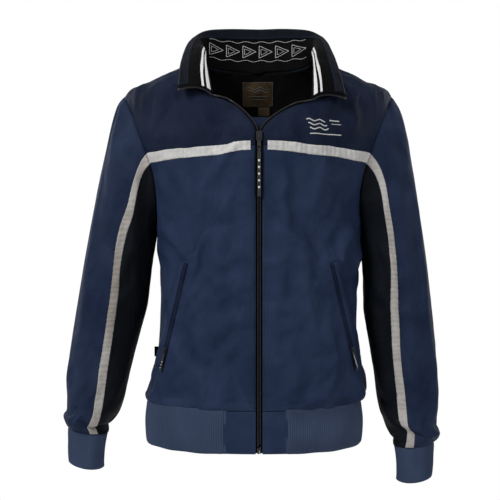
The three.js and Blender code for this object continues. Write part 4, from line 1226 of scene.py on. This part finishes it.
def make_waist_tabs():
    for side, sign in SIDES.items():
        x = np.linspace(cloth_edge, tab_width[side], 22)[None, :]
        z = np.linspace(hem_z, waist_z, 24)[:, None]
        turn = turn_at_x(sign, x, z + 0 * x)
        points = body_point(sign, -1, turn, z + 0 * x)
        cut = grid_cut(points)
        f = np.clip((z - hem_z) / 70, 0, 1)
        inside = ease((x - cloth_edge) / 12) * ease((tab_width[side] - x) / 8) * np.sin(np.pi * f) ** 0.5
        slope, depth = (0.42, 2.0) if side == "L" else (-0.21, 0.9)
        crease = np.sin((z * 0.9 + x * slope) / 7.5) * depth
        points[..., 1] -= crease * inside + 1.2 * np.sin(np.pi * f) * ease((x - 8) / 10)
        bm = grid(points, flip=sign < 0)
        bm = subdivided(bm)
        piece = thicken(mesh_object(side + "_waist_tab_cloth", bm), 1.8)
        orient(piece)
        # The tabs take the painted-light lower copy of the nylon.
        finish_piece(piece, "lower", "jacket", side + "_waist_tab", slot="shell")


def subdivided(bm):
    piece = subdivide(mesh_object("finer", bm))
    bm = bmesh.new()
    bm.from_mesh(piece.data)
    bpy.data.objects.remove(piece)
    return bm


# ---------------------------------------------------------------- placing things on the cloth


def tree_of(piece):
    bm = bmesh.new()
    bm.from_mesh(piece.data)
    tree = BVHTree.FromBMesh(bm)
    bm.free()
    return tree


def seen_spot(tree, x, z, start=-600, way=1):
    """Where a line along Y meets the cloth at x, z, and the cloth's way outwards there, in millimetres."""
    place, normal, _, _ = tree.ray_cast(Vector((x, start, z)) * MM, Vector((0, way, 0)))
    if place is None:
        place, normal, _, _ = tree.find_nearest(Vector((x, start, z)) * MM)
    return np.array(place) / MM, np.array(normal)


def laid_on(tree, flat, lift, start=-600, toward=None):
    """Lays a grid of (x, z) places on the cloth, lift above it; toward is the side that faces out."""
    shape = flat.shape[:-1]
    found = [seen_spot(tree, x, z, start) for x, z in flat.reshape(-1, 2)]
    places = np.array([spot[0] for spot in found])
    out = np.array([spot[1] for spot in found])
    if toward is not None:
        out *= np.where(out @ np.array(toward, float) < 0, -1, 1)[:, None]
    return (places + out * lift).reshape(*shape, 3)


def soft_rows(points, rounds=3):
    """Evens out a grid's rows and columns, so that a stiff piece doesn't copy every crease below it."""
    for _ in range(rounds):
        points[1:-1] = (points[:-2] + 2 * points[1:-1] + points[2:]) / 4
        points[:, 1:-1] = (points[:, :-2] + 2 * points[:, 1:-1] + points[:, 2:]) / 4
    return points


def facing(bm, way):
    """Turns an open piece of cloth so that most of it faces way."""
    bm.normal_update()
    if sum((face.normal * face.calc_area() for face in bm.faces), Vector()).dot(Vector(way)) < 0:
        bmesh.ops.reverse_faces(bm, faces=bm.faces)
    return bm


def cloth_piece(name, points, thickness, finish, body, way, *nodes, slot=None, finer=False):
    """A sheet made from a grid in millimetres; its thickness lies behind the side that faces way."""
    bm = facing(grid(points), way)
    if finer:
        bm = subdivided(bm)
    piece = thicken(mesh_object(name, bm), thickness)
    finish_piece(piece, finish, body, *nodes, slot=slot)
    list(grid_cut(points))
    return piece


# ---------------------------------------------------------------- stitches and threads

STITCHES = {"jacket": [], "R_sleeve": [], "L_sleeve": []}


def resample(points, gap):
    points = np.asarray(points, float)
    run = np.concatenate([[0], np.cumsum(np.linalg.norm(np.diff(points[:, :3], axis=0), axis=1))])
    at = np.arange(gap / 2, run[-1], gap)
    return np.stack([np.interp(at, run, points[:, i]) for i in range(points.shape[1])], -1)


def stitch(points, out, body="jacket", gap=3.1):
    """A row of stitches along points; out holds the cloth's direction outwards at each of them."""
    row = resample(np.hstack([points, out]), gap)
    if len(row) > 1:
        STITCHES[body].append((row[:, :3], unit(row[:, 3:]), unit(np.gradient(row[:, :3], axis=0))))


def stitch_on(tree, flat, body="jacket", start=-600):
    found = [seen_spot(tree, x, z, start) for x, z in resample(flat, 6)]
    if len(found) > 1:
        stitch(np.array([spot[0] for spot in found]), np.array([spot[1] for spot in found]), body)


def place_copies(bm, places, turns, scale=(1, 1, 1)):
    """Repeats the one small shape in bm at places, in millimetres; turns holds each copy's axes."""
    shape = np.array([vert.co for vert in bm.verts]) * scale
    corner, copy = (bm.verts.layers.int.new(name) for name in ("corner", "copy"))
    for i, vert in enumerate(bm.verts):
        vert[corner] = i
    made = 1
    while made < len(places):
        again = min(made, len(places) - made)
        verts = [vert for vert in bm.verts if vert[copy] < again]
        faces = list({face for vert in verts for face in vert.link_faces})
        edges = list({edge for vert in verts for edge in vert.link_edges})
        for thing in bmesh.ops.duplicate(bm, geom=verts + edges + faces)["geom"]:
            if isinstance(thing, bmesh.types.BMVert):
                thing[copy] += made
        made += again
    spots = (np.einsum("vk,nkc->nvc", shape, turns) + places[:, None]) * MM
    for vert in bm.verts:
        vert.co = spots[vert[copy], vert[corner]]
    bmesh.ops.recalc_face_normals(bm, faces=bm.faces)


def make_stitches():
    for body, rows in STITCHES.items():
        if not rows:
            continue
        places, out, along = (np.vstack([row[i] for row in rows]) for i in range(3))
        bm = bmesh.new()
        bmesh.ops.create_icosphere(bm, subdivisions=1, radius=1.0)
        turns = np.stack([along, np.cross(out, along), out], 1)
        place_copies(bm, places + out * 0.15, turns, (1.25, 0.3, 0.28))
        finish_piece(mesh_object(f"{body}_stitches", bm), "thread", body, slot="shell")


def thread_line(bm, tree, flat, width, start=-600, lift=0.5, toward=(0, -1, 0)):
    """A satin-stitched line of thread, laid on the cloth along a path of (x, z)."""
    flat = resample(flat, 1.6)
    if len(flat) < 2:
        return
    along = unit(np.gradient(flat, axis=0))
    across = np.stack([-along[:, 1], along[:, 0]], -1) * width / 2
    rows = laid_on(tree, np.stack([flat - across, flat, flat + across], 1), lift, start, toward)
    rows[:, 1] += np.array(toward) * 0.35
    strip = facing(grid(rows), toward)
    mesh = bpy.data.meshes.new("line")
    strip.to_mesh(mesh)
    strip.free()
    bm.from_mesh(mesh)
    bpy.data.meshes.remove(mesh)


def thread_piece(name, bm, finish, body):
    piece = thicken(mesh_object(name, bm), 0.35)
    return finish_piece(piece, finish, body, slot="label")


# ---------------------------------------------------------------- collar


def collar_foot(side, f):
    sign = SIDES[side]
    turn = quarter * (1 - np.clip(f / (4 / 9), 0, 1))
    back = body_point(sign, 1, turn, back_neck_z(turn))
    turn, z = front_neck(side, 1 - np.clip((f - 4 / 9) / (5 / 9), 0, 1))
    front = body_point(sign, -1, turn, z)
    return np.where((f < 4 / 9)[..., None], back, front)


def collar_edge(side, f):
    sign = SIDES[side]
    corner_x, corner_z = wing_corner[side]
    return spline([
        (0, 21, collar_top), (62 * sign, 15, collar_top - 1), (103 * sign, -10, collar_top - 12),
        (126 * sign, -52, collar_top - 42), (134 * sign, -100, collar_top - 76),
        (lerp(137, corner_x, 0.4) * sign, -157, lerp(collar_top - 120, corner_z + 40, 0.4)),
        (corner_x * sign, wing_y, corner_z)], f)


def collar_point(side, f, h):
    f, h = np.broadcast_arrays(np.asarray(f, float), np.asarray(h, float))
    foot, top = collar_foot(side, f), collar_edge(side, f)
    roll = ease((f - 0.2) / 0.4)[..., None]
    middle = (foot + top) / 2 + roll * (-13 * SIDES[side], -8, 16)
    h = h[..., None]
    return (1 - h) ** 2 * foot + 2 * h * (1 - h) * middle + h * h * top


def collar_grid(f, h, depth):
    """Rows of the whole collar for shares -1 (right corner) to 1 (left corner), depth towards its inside."""
    side_grids = [collar_point("R", -f[f < 0][None, :], h[:, None]),
                  collar_point("L", f[f >= 0][None, :], h[:, None])]
    points = np.hstack(side_grids)
    n = unit(np.cross(np.gradient(points, axis=1), np.gradient(points, axis=0)))
    spots = points / 1000
    soft = np.array([noise.noise(Vector(spot) * 22) for spot in spots.reshape(-1, 3)])
    soft = soft.reshape(spots.shape[:2])
    wave = soft * 3.2 * (np.sin(np.pi * np.clip(h, 0, 1)) ** 0.7)[:, None] + 1.2 * soft * (h[:, None] > 0.9)
    return points + n * (depth + wave)[..., None], n


def make_collar():
    f = np.linspace(-1, 1, 121)
    h = np.linspace(0.0, 1, 34)
    inside = (0, -1, 0.2)
    cloth, _ = collar_grid(f, h, 0.8)
    bm = grid(cloth)
    piece = thicken(mesh_object("collar_outer_cloth", bm), 1.8)
    # The collar's outer cloth, like its facing below, takes the darker collar copy, which is painted shade.
    finish_piece(piece, "collar", "jacket", "collar_outer", slot="shell")
    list(grid_cut(cloth))
    black, _ = collar_grid(f, np.linspace(0.02, 0.985, 34), 1.9)
    piece = thicken(mesh_object("collar_lining_cloth", grid(black)), 1.0)
    finish_piece(piece, "lining", "jacket", "collar_lining", slot="lining")
    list(grid_cut(black))
    lining_tree = tree_of(piece)
    band, out = collar_grid(np.linspace(-0.985, 0.985, 121), np.linspace(0.76, 1.0, 10), 2.9)
    band[-1] += 1.2 * (band[-1] - band[-2]) / np.linalg.norm(band[-1] - band[-2], axis=-1, keepdims=True)
    band[-1] -= out[-1] * 1.6
    band[0] -= out[0] * 0.9
    piece = thicken(mesh_object("collar_facing", grid(band)), 0.9)
    finish_piece(piece, "collar", "jacket", slot="shell")
    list(grid_cut(band))
    for row in (1, 2):
        stitch(band[row] + out[row] * 0.1, out[row])
    stitch(band[8], out[8])
    for side, sign in SIDES.items():
        share = sign * np.linspace(0.995, 0.5, 46)
        share = np.sort(share)
        wobble = 0.012 * np.sin(np.linspace(0, 9, 46))
        low, high = 0.10, 0.44
        strips, n = collar_grid(share, np.linspace(low, high, 9), 3.1)
        strips[:, :, 2] += wobble[None, :] * 60
        piece = cloth_piece(f"{side}_collar_ribbon_cloth", strips, 0.8, "ribbon", "jacket", inside,
                            f"{side}_collar_ribbon", slot="ribbon")
        for row in (0, 8):
            stitch(strips[row] + n[row] * 0.1, n[row], gap=3.6)
    return lining_tree


def make_collar_motif(tree):
    """Outlined pennants between two rows of waves, stitched on the inside of the back of the collar."""
    bm = bmesh.new()
    for x in (-80, -48, -16, 16, 48, 80):
        outline = [(x - 13, 55), (x - 13, 30), (x + 13, 43), (x - 13, 55)]
        thread_line(bm, tree, outline, 1.1)
        inner = [(x - 9.5, 49), (x - 9.5, 36), (x + 4, 43), (x - 9.5, 49)]
        thread_line(bm, tree, inner, 0.8)
    for z in (62, 24):
        x = np.linspace(-94, 94, 150)
        thread_line(bm, tree, np.stack([x, z + 1.6 * np.sin(x / 5)], -1), 0.9)
    thread_piece("collar_stitched_motif", bm, "pale_thread", "jacket")


# ---------------------------------------------------------------- front zip


def zip_rail(side):
    """The cloth's edge along the zip, from the hem to the collar's corner, and the ways along, in and out."""
    sign = SIDES[side]
    z = np.linspace(hem_z + 12, zip_top_z, 90)
    straight = np.stack([sign * cloth_edge + 0 * z, front_y + 0 * z, z], -1)
    r = np.linspace(0, 1, 50)[1:]
    turned = body_point(sign, -1, *panel_edge(side, r, cloth_edge))
    inward = (body_point(sign, -1, *panel_edge(side, r, cloth_edge + 1))
              - body_point(sign, -1, *panel_edge(side, r, cloth_edge - 1)))
    h = np.linspace(0.05, 0.97, 24)
    wing = collar_point(side, np.ones(24), h)
    wing_in = collar_point(side, np.full(24, 0.96), h) - wing
    rail = np.vstack([straight, turned, wing])
    into = unit(np.vstack([straight * 0 + (sign, 0, 0), inward, wing_in]))
    pull = (0.8 * ease((r - 0.6) / 0.4))[:, None]
    into[90:139] = unit(lerp(into[90:139], np.array([0, 1, 0.3]), pull))
    along = unit(np.gradient(rail, axis=0))
    into = unit(into - along * np.sum(into * along, -1, keepdims=True))
    out = np.cross(along, into)
    out[0] *= -1 if out[0, 1] > 0 else 1
    for i in range(1, len(out)):
        if out[i] @ out[i - 1] < 0:
            out[i] *= -1
    bend = np.concatenate([np.zeros(90), np.linspace(0, 1, 49) ** 0.5, np.ones(24)])
    return rail, along, into, out, bend


def one_tooth():
    """A small block with its edges taken off."""
    bm = bmesh.new()
    bmesh.ops.create_cube(bm, size=1.0)
    for vert in bm.verts:
        vert.co = (vert.co.x * 2.3, vert.co.y * 1.25, vert.co.z * 2.3)
    bmesh.ops.bevel(bm, geom=bm.edges[:], offset=0.28, offset_type="OFFSET", affect="EDGES", segments=1,
                    profile=0.5, material=-1)
    return bm


def make_zip():
    for side, sign in SIDES.items():
        rail, along, into, out, bend = zip_rail(side)
        track_points = rail - into * 3.6 + out * lerp(-1.7, 0.0, bend)[:, None]
        row = resample(np.hstack([track_points, along, into, out]), 2.25)
        row = row[1:] if sign > 0 else row
        ways = np.stack([unit(row[:, 6:9]), unit(row[:, 3:6]), unit(row[:, 9:])], 1)
        places = row[:, :3] + ways[:, 1] * (1.1 if sign > 0 else 0)
        teeth = one_tooth()
        place_copies(teeth, places, ways)
        finish_piece(mesh_object(f"{side}_zip_row", teeth, smooth=False), "plastic", "jacket",
                     f"{side}_zip_teeth", slot="black_plastic")
        far = np.where(bend == 0, 4.0, lerp(3.0, -0.4, np.clip(2 * bend, 0, 1)))
        deep = lerp(np.where(bend == 0, -3.4, -3.2), -0.4, bend)
        across = np.linspace(0, 1, 4)[:, None]
        strip = rail + into * lerp(-2.9, far, across)[..., None] + out * deep[:, None]
        strip = np.concatenate([strip[:, :1] - (0, 0, 11), strip], axis=1)
        cloth_piece(f"{side}_zip_tape_cloth", strip, 0.8, "zip_tape", "jacket", (0, -1, 0),
                    f"{side}_zip_tape", slot="zip_tape")


def make_storm_flap():
    x = np.linspace(-28, 28, 15)[None, :]
    z = np.linspace(hem_z + 4, -122, 70)[:, None]
    y = front_at(z) + 8.0 + 0 * x + 0.9 * np.sin(z / 31) * np.cos(x / 24) + 1.2 * ease((np.abs(x) - 14) / 14)
    y += 3 * ease((z + 136) / 14)
    # The flap takes the painted-shade upper copy of the nylon.
    cloth_piece("storm_flap_cloth", np.stack(np.broadcast_arrays(x, y, z), -1), 1.5, "upper", "jacket",
                (0, -1, 0), "storm_flap", slot="shell")


# ---------------------------------------------------------------- pockets


def pocket_spot(side, f, across):
    """Front-view place on a pocket: f runs down the opening, across goes towards the side seam."""
    (x0, z0), (x1, z1) = pocket_top, pocket_bottom
    length = math.hypot(x1 - x0, z1 - z0)
    x = lerp(x0, x1, f) - across * (z1 - z0) / length
    z = lerp(z0, z1, f) + across * (x1 - x0) / length
    return np.stack(np.broadcast_arrays(SIDES[side] * x, z), -1)


def make_pockets(tree):
    for side, sign in SIDES.items():
        f = np.linspace(0, 1, 50)[:, None]
        welt = laid_on(tree, pocket_spot(side, f, np.linspace(4, 16, 9)[None, :]), 0)
        welt = soft_rows(welt, 2)
        crown = np.sin(np.pi * np.linspace(0.05, 0.95, 9)) ** 0.5
        welt += np.array([sign * 0.55, -0.83, 0]) * (1.0 + 1.8 * crown)[None, :, None]
        # The welts take the painted-light lower copy; the slit and the pocket teeth take the painted-shade
        # upper copy.
        cloth_piece(f"{side}_pocket_welt_cloth", welt, 1.6, "lower", "jacket", (sign * 0.5, -1, 0),
                    f"{side}_pocket_welt", slot="shell")
        slit = laid_on(tree, pocket_spot(side, f, np.linspace(-2.5, 5, 7)[None, :]), 0.9)
        cloth_piece(f"{side}_pocket_slit", slit, 0.7, "upper", "jacket", (sign * 0.5, -1, 0), slot="zip_tape")
        bag = laid_on(tree, pocket_spot(side, lerp(0.04, 1, f[::3]), np.linspace(8, -90, 14)[None, :]), -6.5)
        cloth_piece(f"{side}_pocket_bag_cloth", soft_rows(bag), 1.2, "lining", "jacket", (0, 1, 0),
                    f"{side}_pocket_bag", slot="lining")
        for across in (4.9, 15):
            flat = pocket_spot(side, np.linspace(0.01, 0.99, 30), across)
            places = laid_on(tree, flat[:, None], 0)[:, 0] + np.array([sign * 0.55, -0.83, 0]) * 2.0
            stitch(places, places * 0 + (sign * 0.55, -0.83, 0))
        for end in (0.0, 1.0):
            places = laid_on(tree, pocket_spot(side, end, np.linspace(-5, 16, 8))[:, None], 0)[:, 0]
            stitch(places + np.array([sign * 0.55, -0.83, 0]) * 1.4, places * 0 + (sign * 0.55, -0.83, 0))
        make_pull_marks(side)
        bpy.data.objects[f"{side}_pocket_teeth"].material_slots[0].material = FINISH["upper"]


def make_pull_marks(side):
    """Two slanting white bars printed on each pocket pull."""
    low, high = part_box(f"{side}_pocket_pull")
    middle = (low + high) / 2 / MM
    pull = tree_of(bpy.data.objects[f"{side}_pocket_pull"])
    lines = bmesh.new()
    for shift in (-6, -1, 4):
        z = middle.z - 6 + shift
        x = lerp(low.x, high.x, 0.5) / MM
        way = (high.x - low.x) / (high.z - low.z) * SIDES[side] * -1
        place = x + way * (z - middle.z)
        thread_line(lines, pull, [(place - 1.1, z - 1), (place + 1.1, z + 1)], 1.2, lift=0.1)
    thread_piece(f"{side}_pull_marks", lines, "print", f"{side}_pocket_tag")


# ---------------------------------------------------------------- labels, loop, motifs and fittings


def make_labels(tree):
    def inside_back(x0, x1, z0, z1, tilt, lift):
        x = np.linspace(x0, x1, 16)[None, :]
        z = np.linspace(z0, z1, 13)[:, None]
        middle = (x0 + x1) / 2
        flat = np.stack(np.broadcast_arrays(x - tilt * (z - z1), z + tilt * (x - middle)), -1)
        return soft_rows(laid_on(tree, flat, lift, start=-95), 2)

    label = inside_back(-31, 31, -65, -17, 0.012, -5.4)
    cloth_piece("main_label_cloth", label, 0.8, "label", "jacket", (0, -1, 0), "main_label", slot="label")
    size = inside_back(1, 24, -82, -65.2, 0.012, -5.2)
    cloth_piece("size_label_cloth", size, 0.8, "size_label", "jacket", (0, -1, 0), "size_label", slot="label")
    lines = bmesh.new()
    label_tree = tree_of(bpy.data.objects["main_label_cloth"])
    x = np.linspace(-20, 20, 60)
    for z in (-30, -35):
        thread_line(lines, label_tree, np.stack([x, z + 2.0 * np.sin(x / 3.4)], -1), 1.0, start=-95)
    thread_line(lines, label_tree, [(-20, -45), (20, -45)], 0.8, start=-95)
    thread_line(lines, label_tree, [(-13, -51), (13, -51)], 0.8, start=-95)
    border = [(-29, -19), (29, -19), (29, -63), (-29, -63), (-29, -19)]
    thread_line(lines, label_tree, border, 0.5, start=-95)
    thread_piece("label_woven_lines", lines, "grey_thread", "jacket")
    run = spline([(-17, 3.2, 5), (-10, 1, 1.5), (0, 0, 0), (10, 1, 1.5), (17, 3.2, 5)], np.linspace(0, 1, 40))
    along = unit(np.gradient(run, axis=0))
    up = unit(np.cross(along, np.array([0, -1.0, 0])))
    strip = run[None] + up[None] * np.linspace(-2.5, 2.5, 5)[:, None, None]
    cloth_piece("hanging_loop_cloth", strip, 1.0, "lining", "jacket", (0, -1, 0), "hanging_loop",
                slot="lining")
    low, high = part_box("flag_label")
    middle = Vector((0, (low.y + high.y) / 2, (low.z + high.z) / 2))
    place = tree.ray_cast(middle, Vector((-1, 0, 0)))[0]
    x = place.x / MM + 1 + np.linspace(-9, 0, 8)[None, :]
    z = np.linspace(low.z, high.z, 10)[:, None] / MM
    y = (low.y + high.y) / 2 / MM - 0.5 + 0.7 * np.sin(x / 3.5) + 0 * z
    cloth_piece("flag_label_cloth", np.stack(np.broadcast_arrays(x, y, z), -1), 1.0, "zip_tape", "jacket",
                (0, -1, 0), "flag_label", slot="label")


def make_chest_motif(tree):
    """Three stitched waves over a bar, on the wearer's left chest."""
    bm = bmesh.new()
    for k, z in enumerate((-128, -135, -142)):
        x = np.linspace(78 + 3 * k, 112 + 3 * k, 60)
        thread_line(bm, tree, np.stack([x, z + 1.8 * np.sin((x - 78) / 3.0)], -1), 2.0)
    thread_line(bm, tree, [(118, -127), (138, -127)], 2.2)
    thread_line(bm, tree, [(121, -133), (141, -133)], 1.2)
    thread_line(bm, tree, [(84, -151), (140, -151)], 1.8)
    thread_piece("chest_stitched_motif", bm, "pale_thread", "jacket")


def make_puller_marks():
    """Generic white chevrons printed on the long puller."""
    low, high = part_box("zip_puller")
    front = low.y / MM - 0.15
    bm = bmesh.new()
    for z in np.linspace(high.z / MM - 22, low.z / MM + 14, 5):
        points = np.array([[(-1.5, front, z), (0, front, z - 1.4), (1.5, front, z)],
                           [(-1.5, front, z + 3.2), (0, front, z + 1.8), (1.5, front, z + 3.2)]])
        strip = facing(grid(points), (0, -1, 0))
        mesh = bpy.data.meshes.new("mark")
        strip.to_mesh(mesh)
        strip.free()
        bm.from_mesh(mesh)
        bpy.data.meshes.remove(mesh)
    thread_piece("puller_marks", bm, "print", "zip_pull")


def finish_fittings():
    for node, finish in (("slider_body", "enamel"), ("pull_tab", "enamel"), ("zip_puller", "plastic"),
                         ("insertion_pin", "enamel"), ("retainer_box", "enamel")):
        bpy.data.objects[node].material_slots[0].material = FINISH[finish]
    for side in SIDES:
        for node, finish in (("pocket_slider", "enamel"), ("pocket_pull", "plastic"), ("top_stop", "enamel")):
            bpy.data.objects[f"{side}_{node}"].material_slots[0].material = FINISH[finish]


def sew_seams(tree):
    """Stitch rows beside the zip, along the chest tapes and round the waist seam."""
    for side, sign in SIDES.items():
        for across in (8.2, 13.5):
            stitch_on(tree, [(sign * across, z) for z in np.linspace(waist_z + 3, zip_top_z, 40)])
            point, away = open_edge(side, np.linspace(0, 0.96, 40))
            stitch_on(tree, point + away * across)
        for z in (chest_tape_z - 5.8, chest_tape_z + 5.8):
            stitch_on(tree, [(sign * x, z) for x in np.linspace(chest_tape_start + 2, 196, 40)])
        for z in (waist_z + 3, waist_z + 6):
            stitch_on(tree, [(sign * x, z) for x in np.linspace(15, 185, 40)])


# ---------------------------------------------------------------- making the whole

make_finishes()
set_camera()
set_floor()
set_light()
shell, plain_shell = make_shell()
shell_tree = tree_of(shell)
make_panels(shell)
make_waist_rib()
make_waist_tabs()
make_cuffs()
make_pockets(shell_tree)
collar_tree = make_collar()
make_collar_motif(collar_tree)
make_zip()
make_storm_flap()
make_labels(shell_tree)
make_chest_motif(shell_tree)
make_puller_marks()
finish_fittings()
sew_seams(shell_tree)
make_stitches()
bpy.data.objects.remove(shell)
bpy.data.objects.remove(plain_shell)
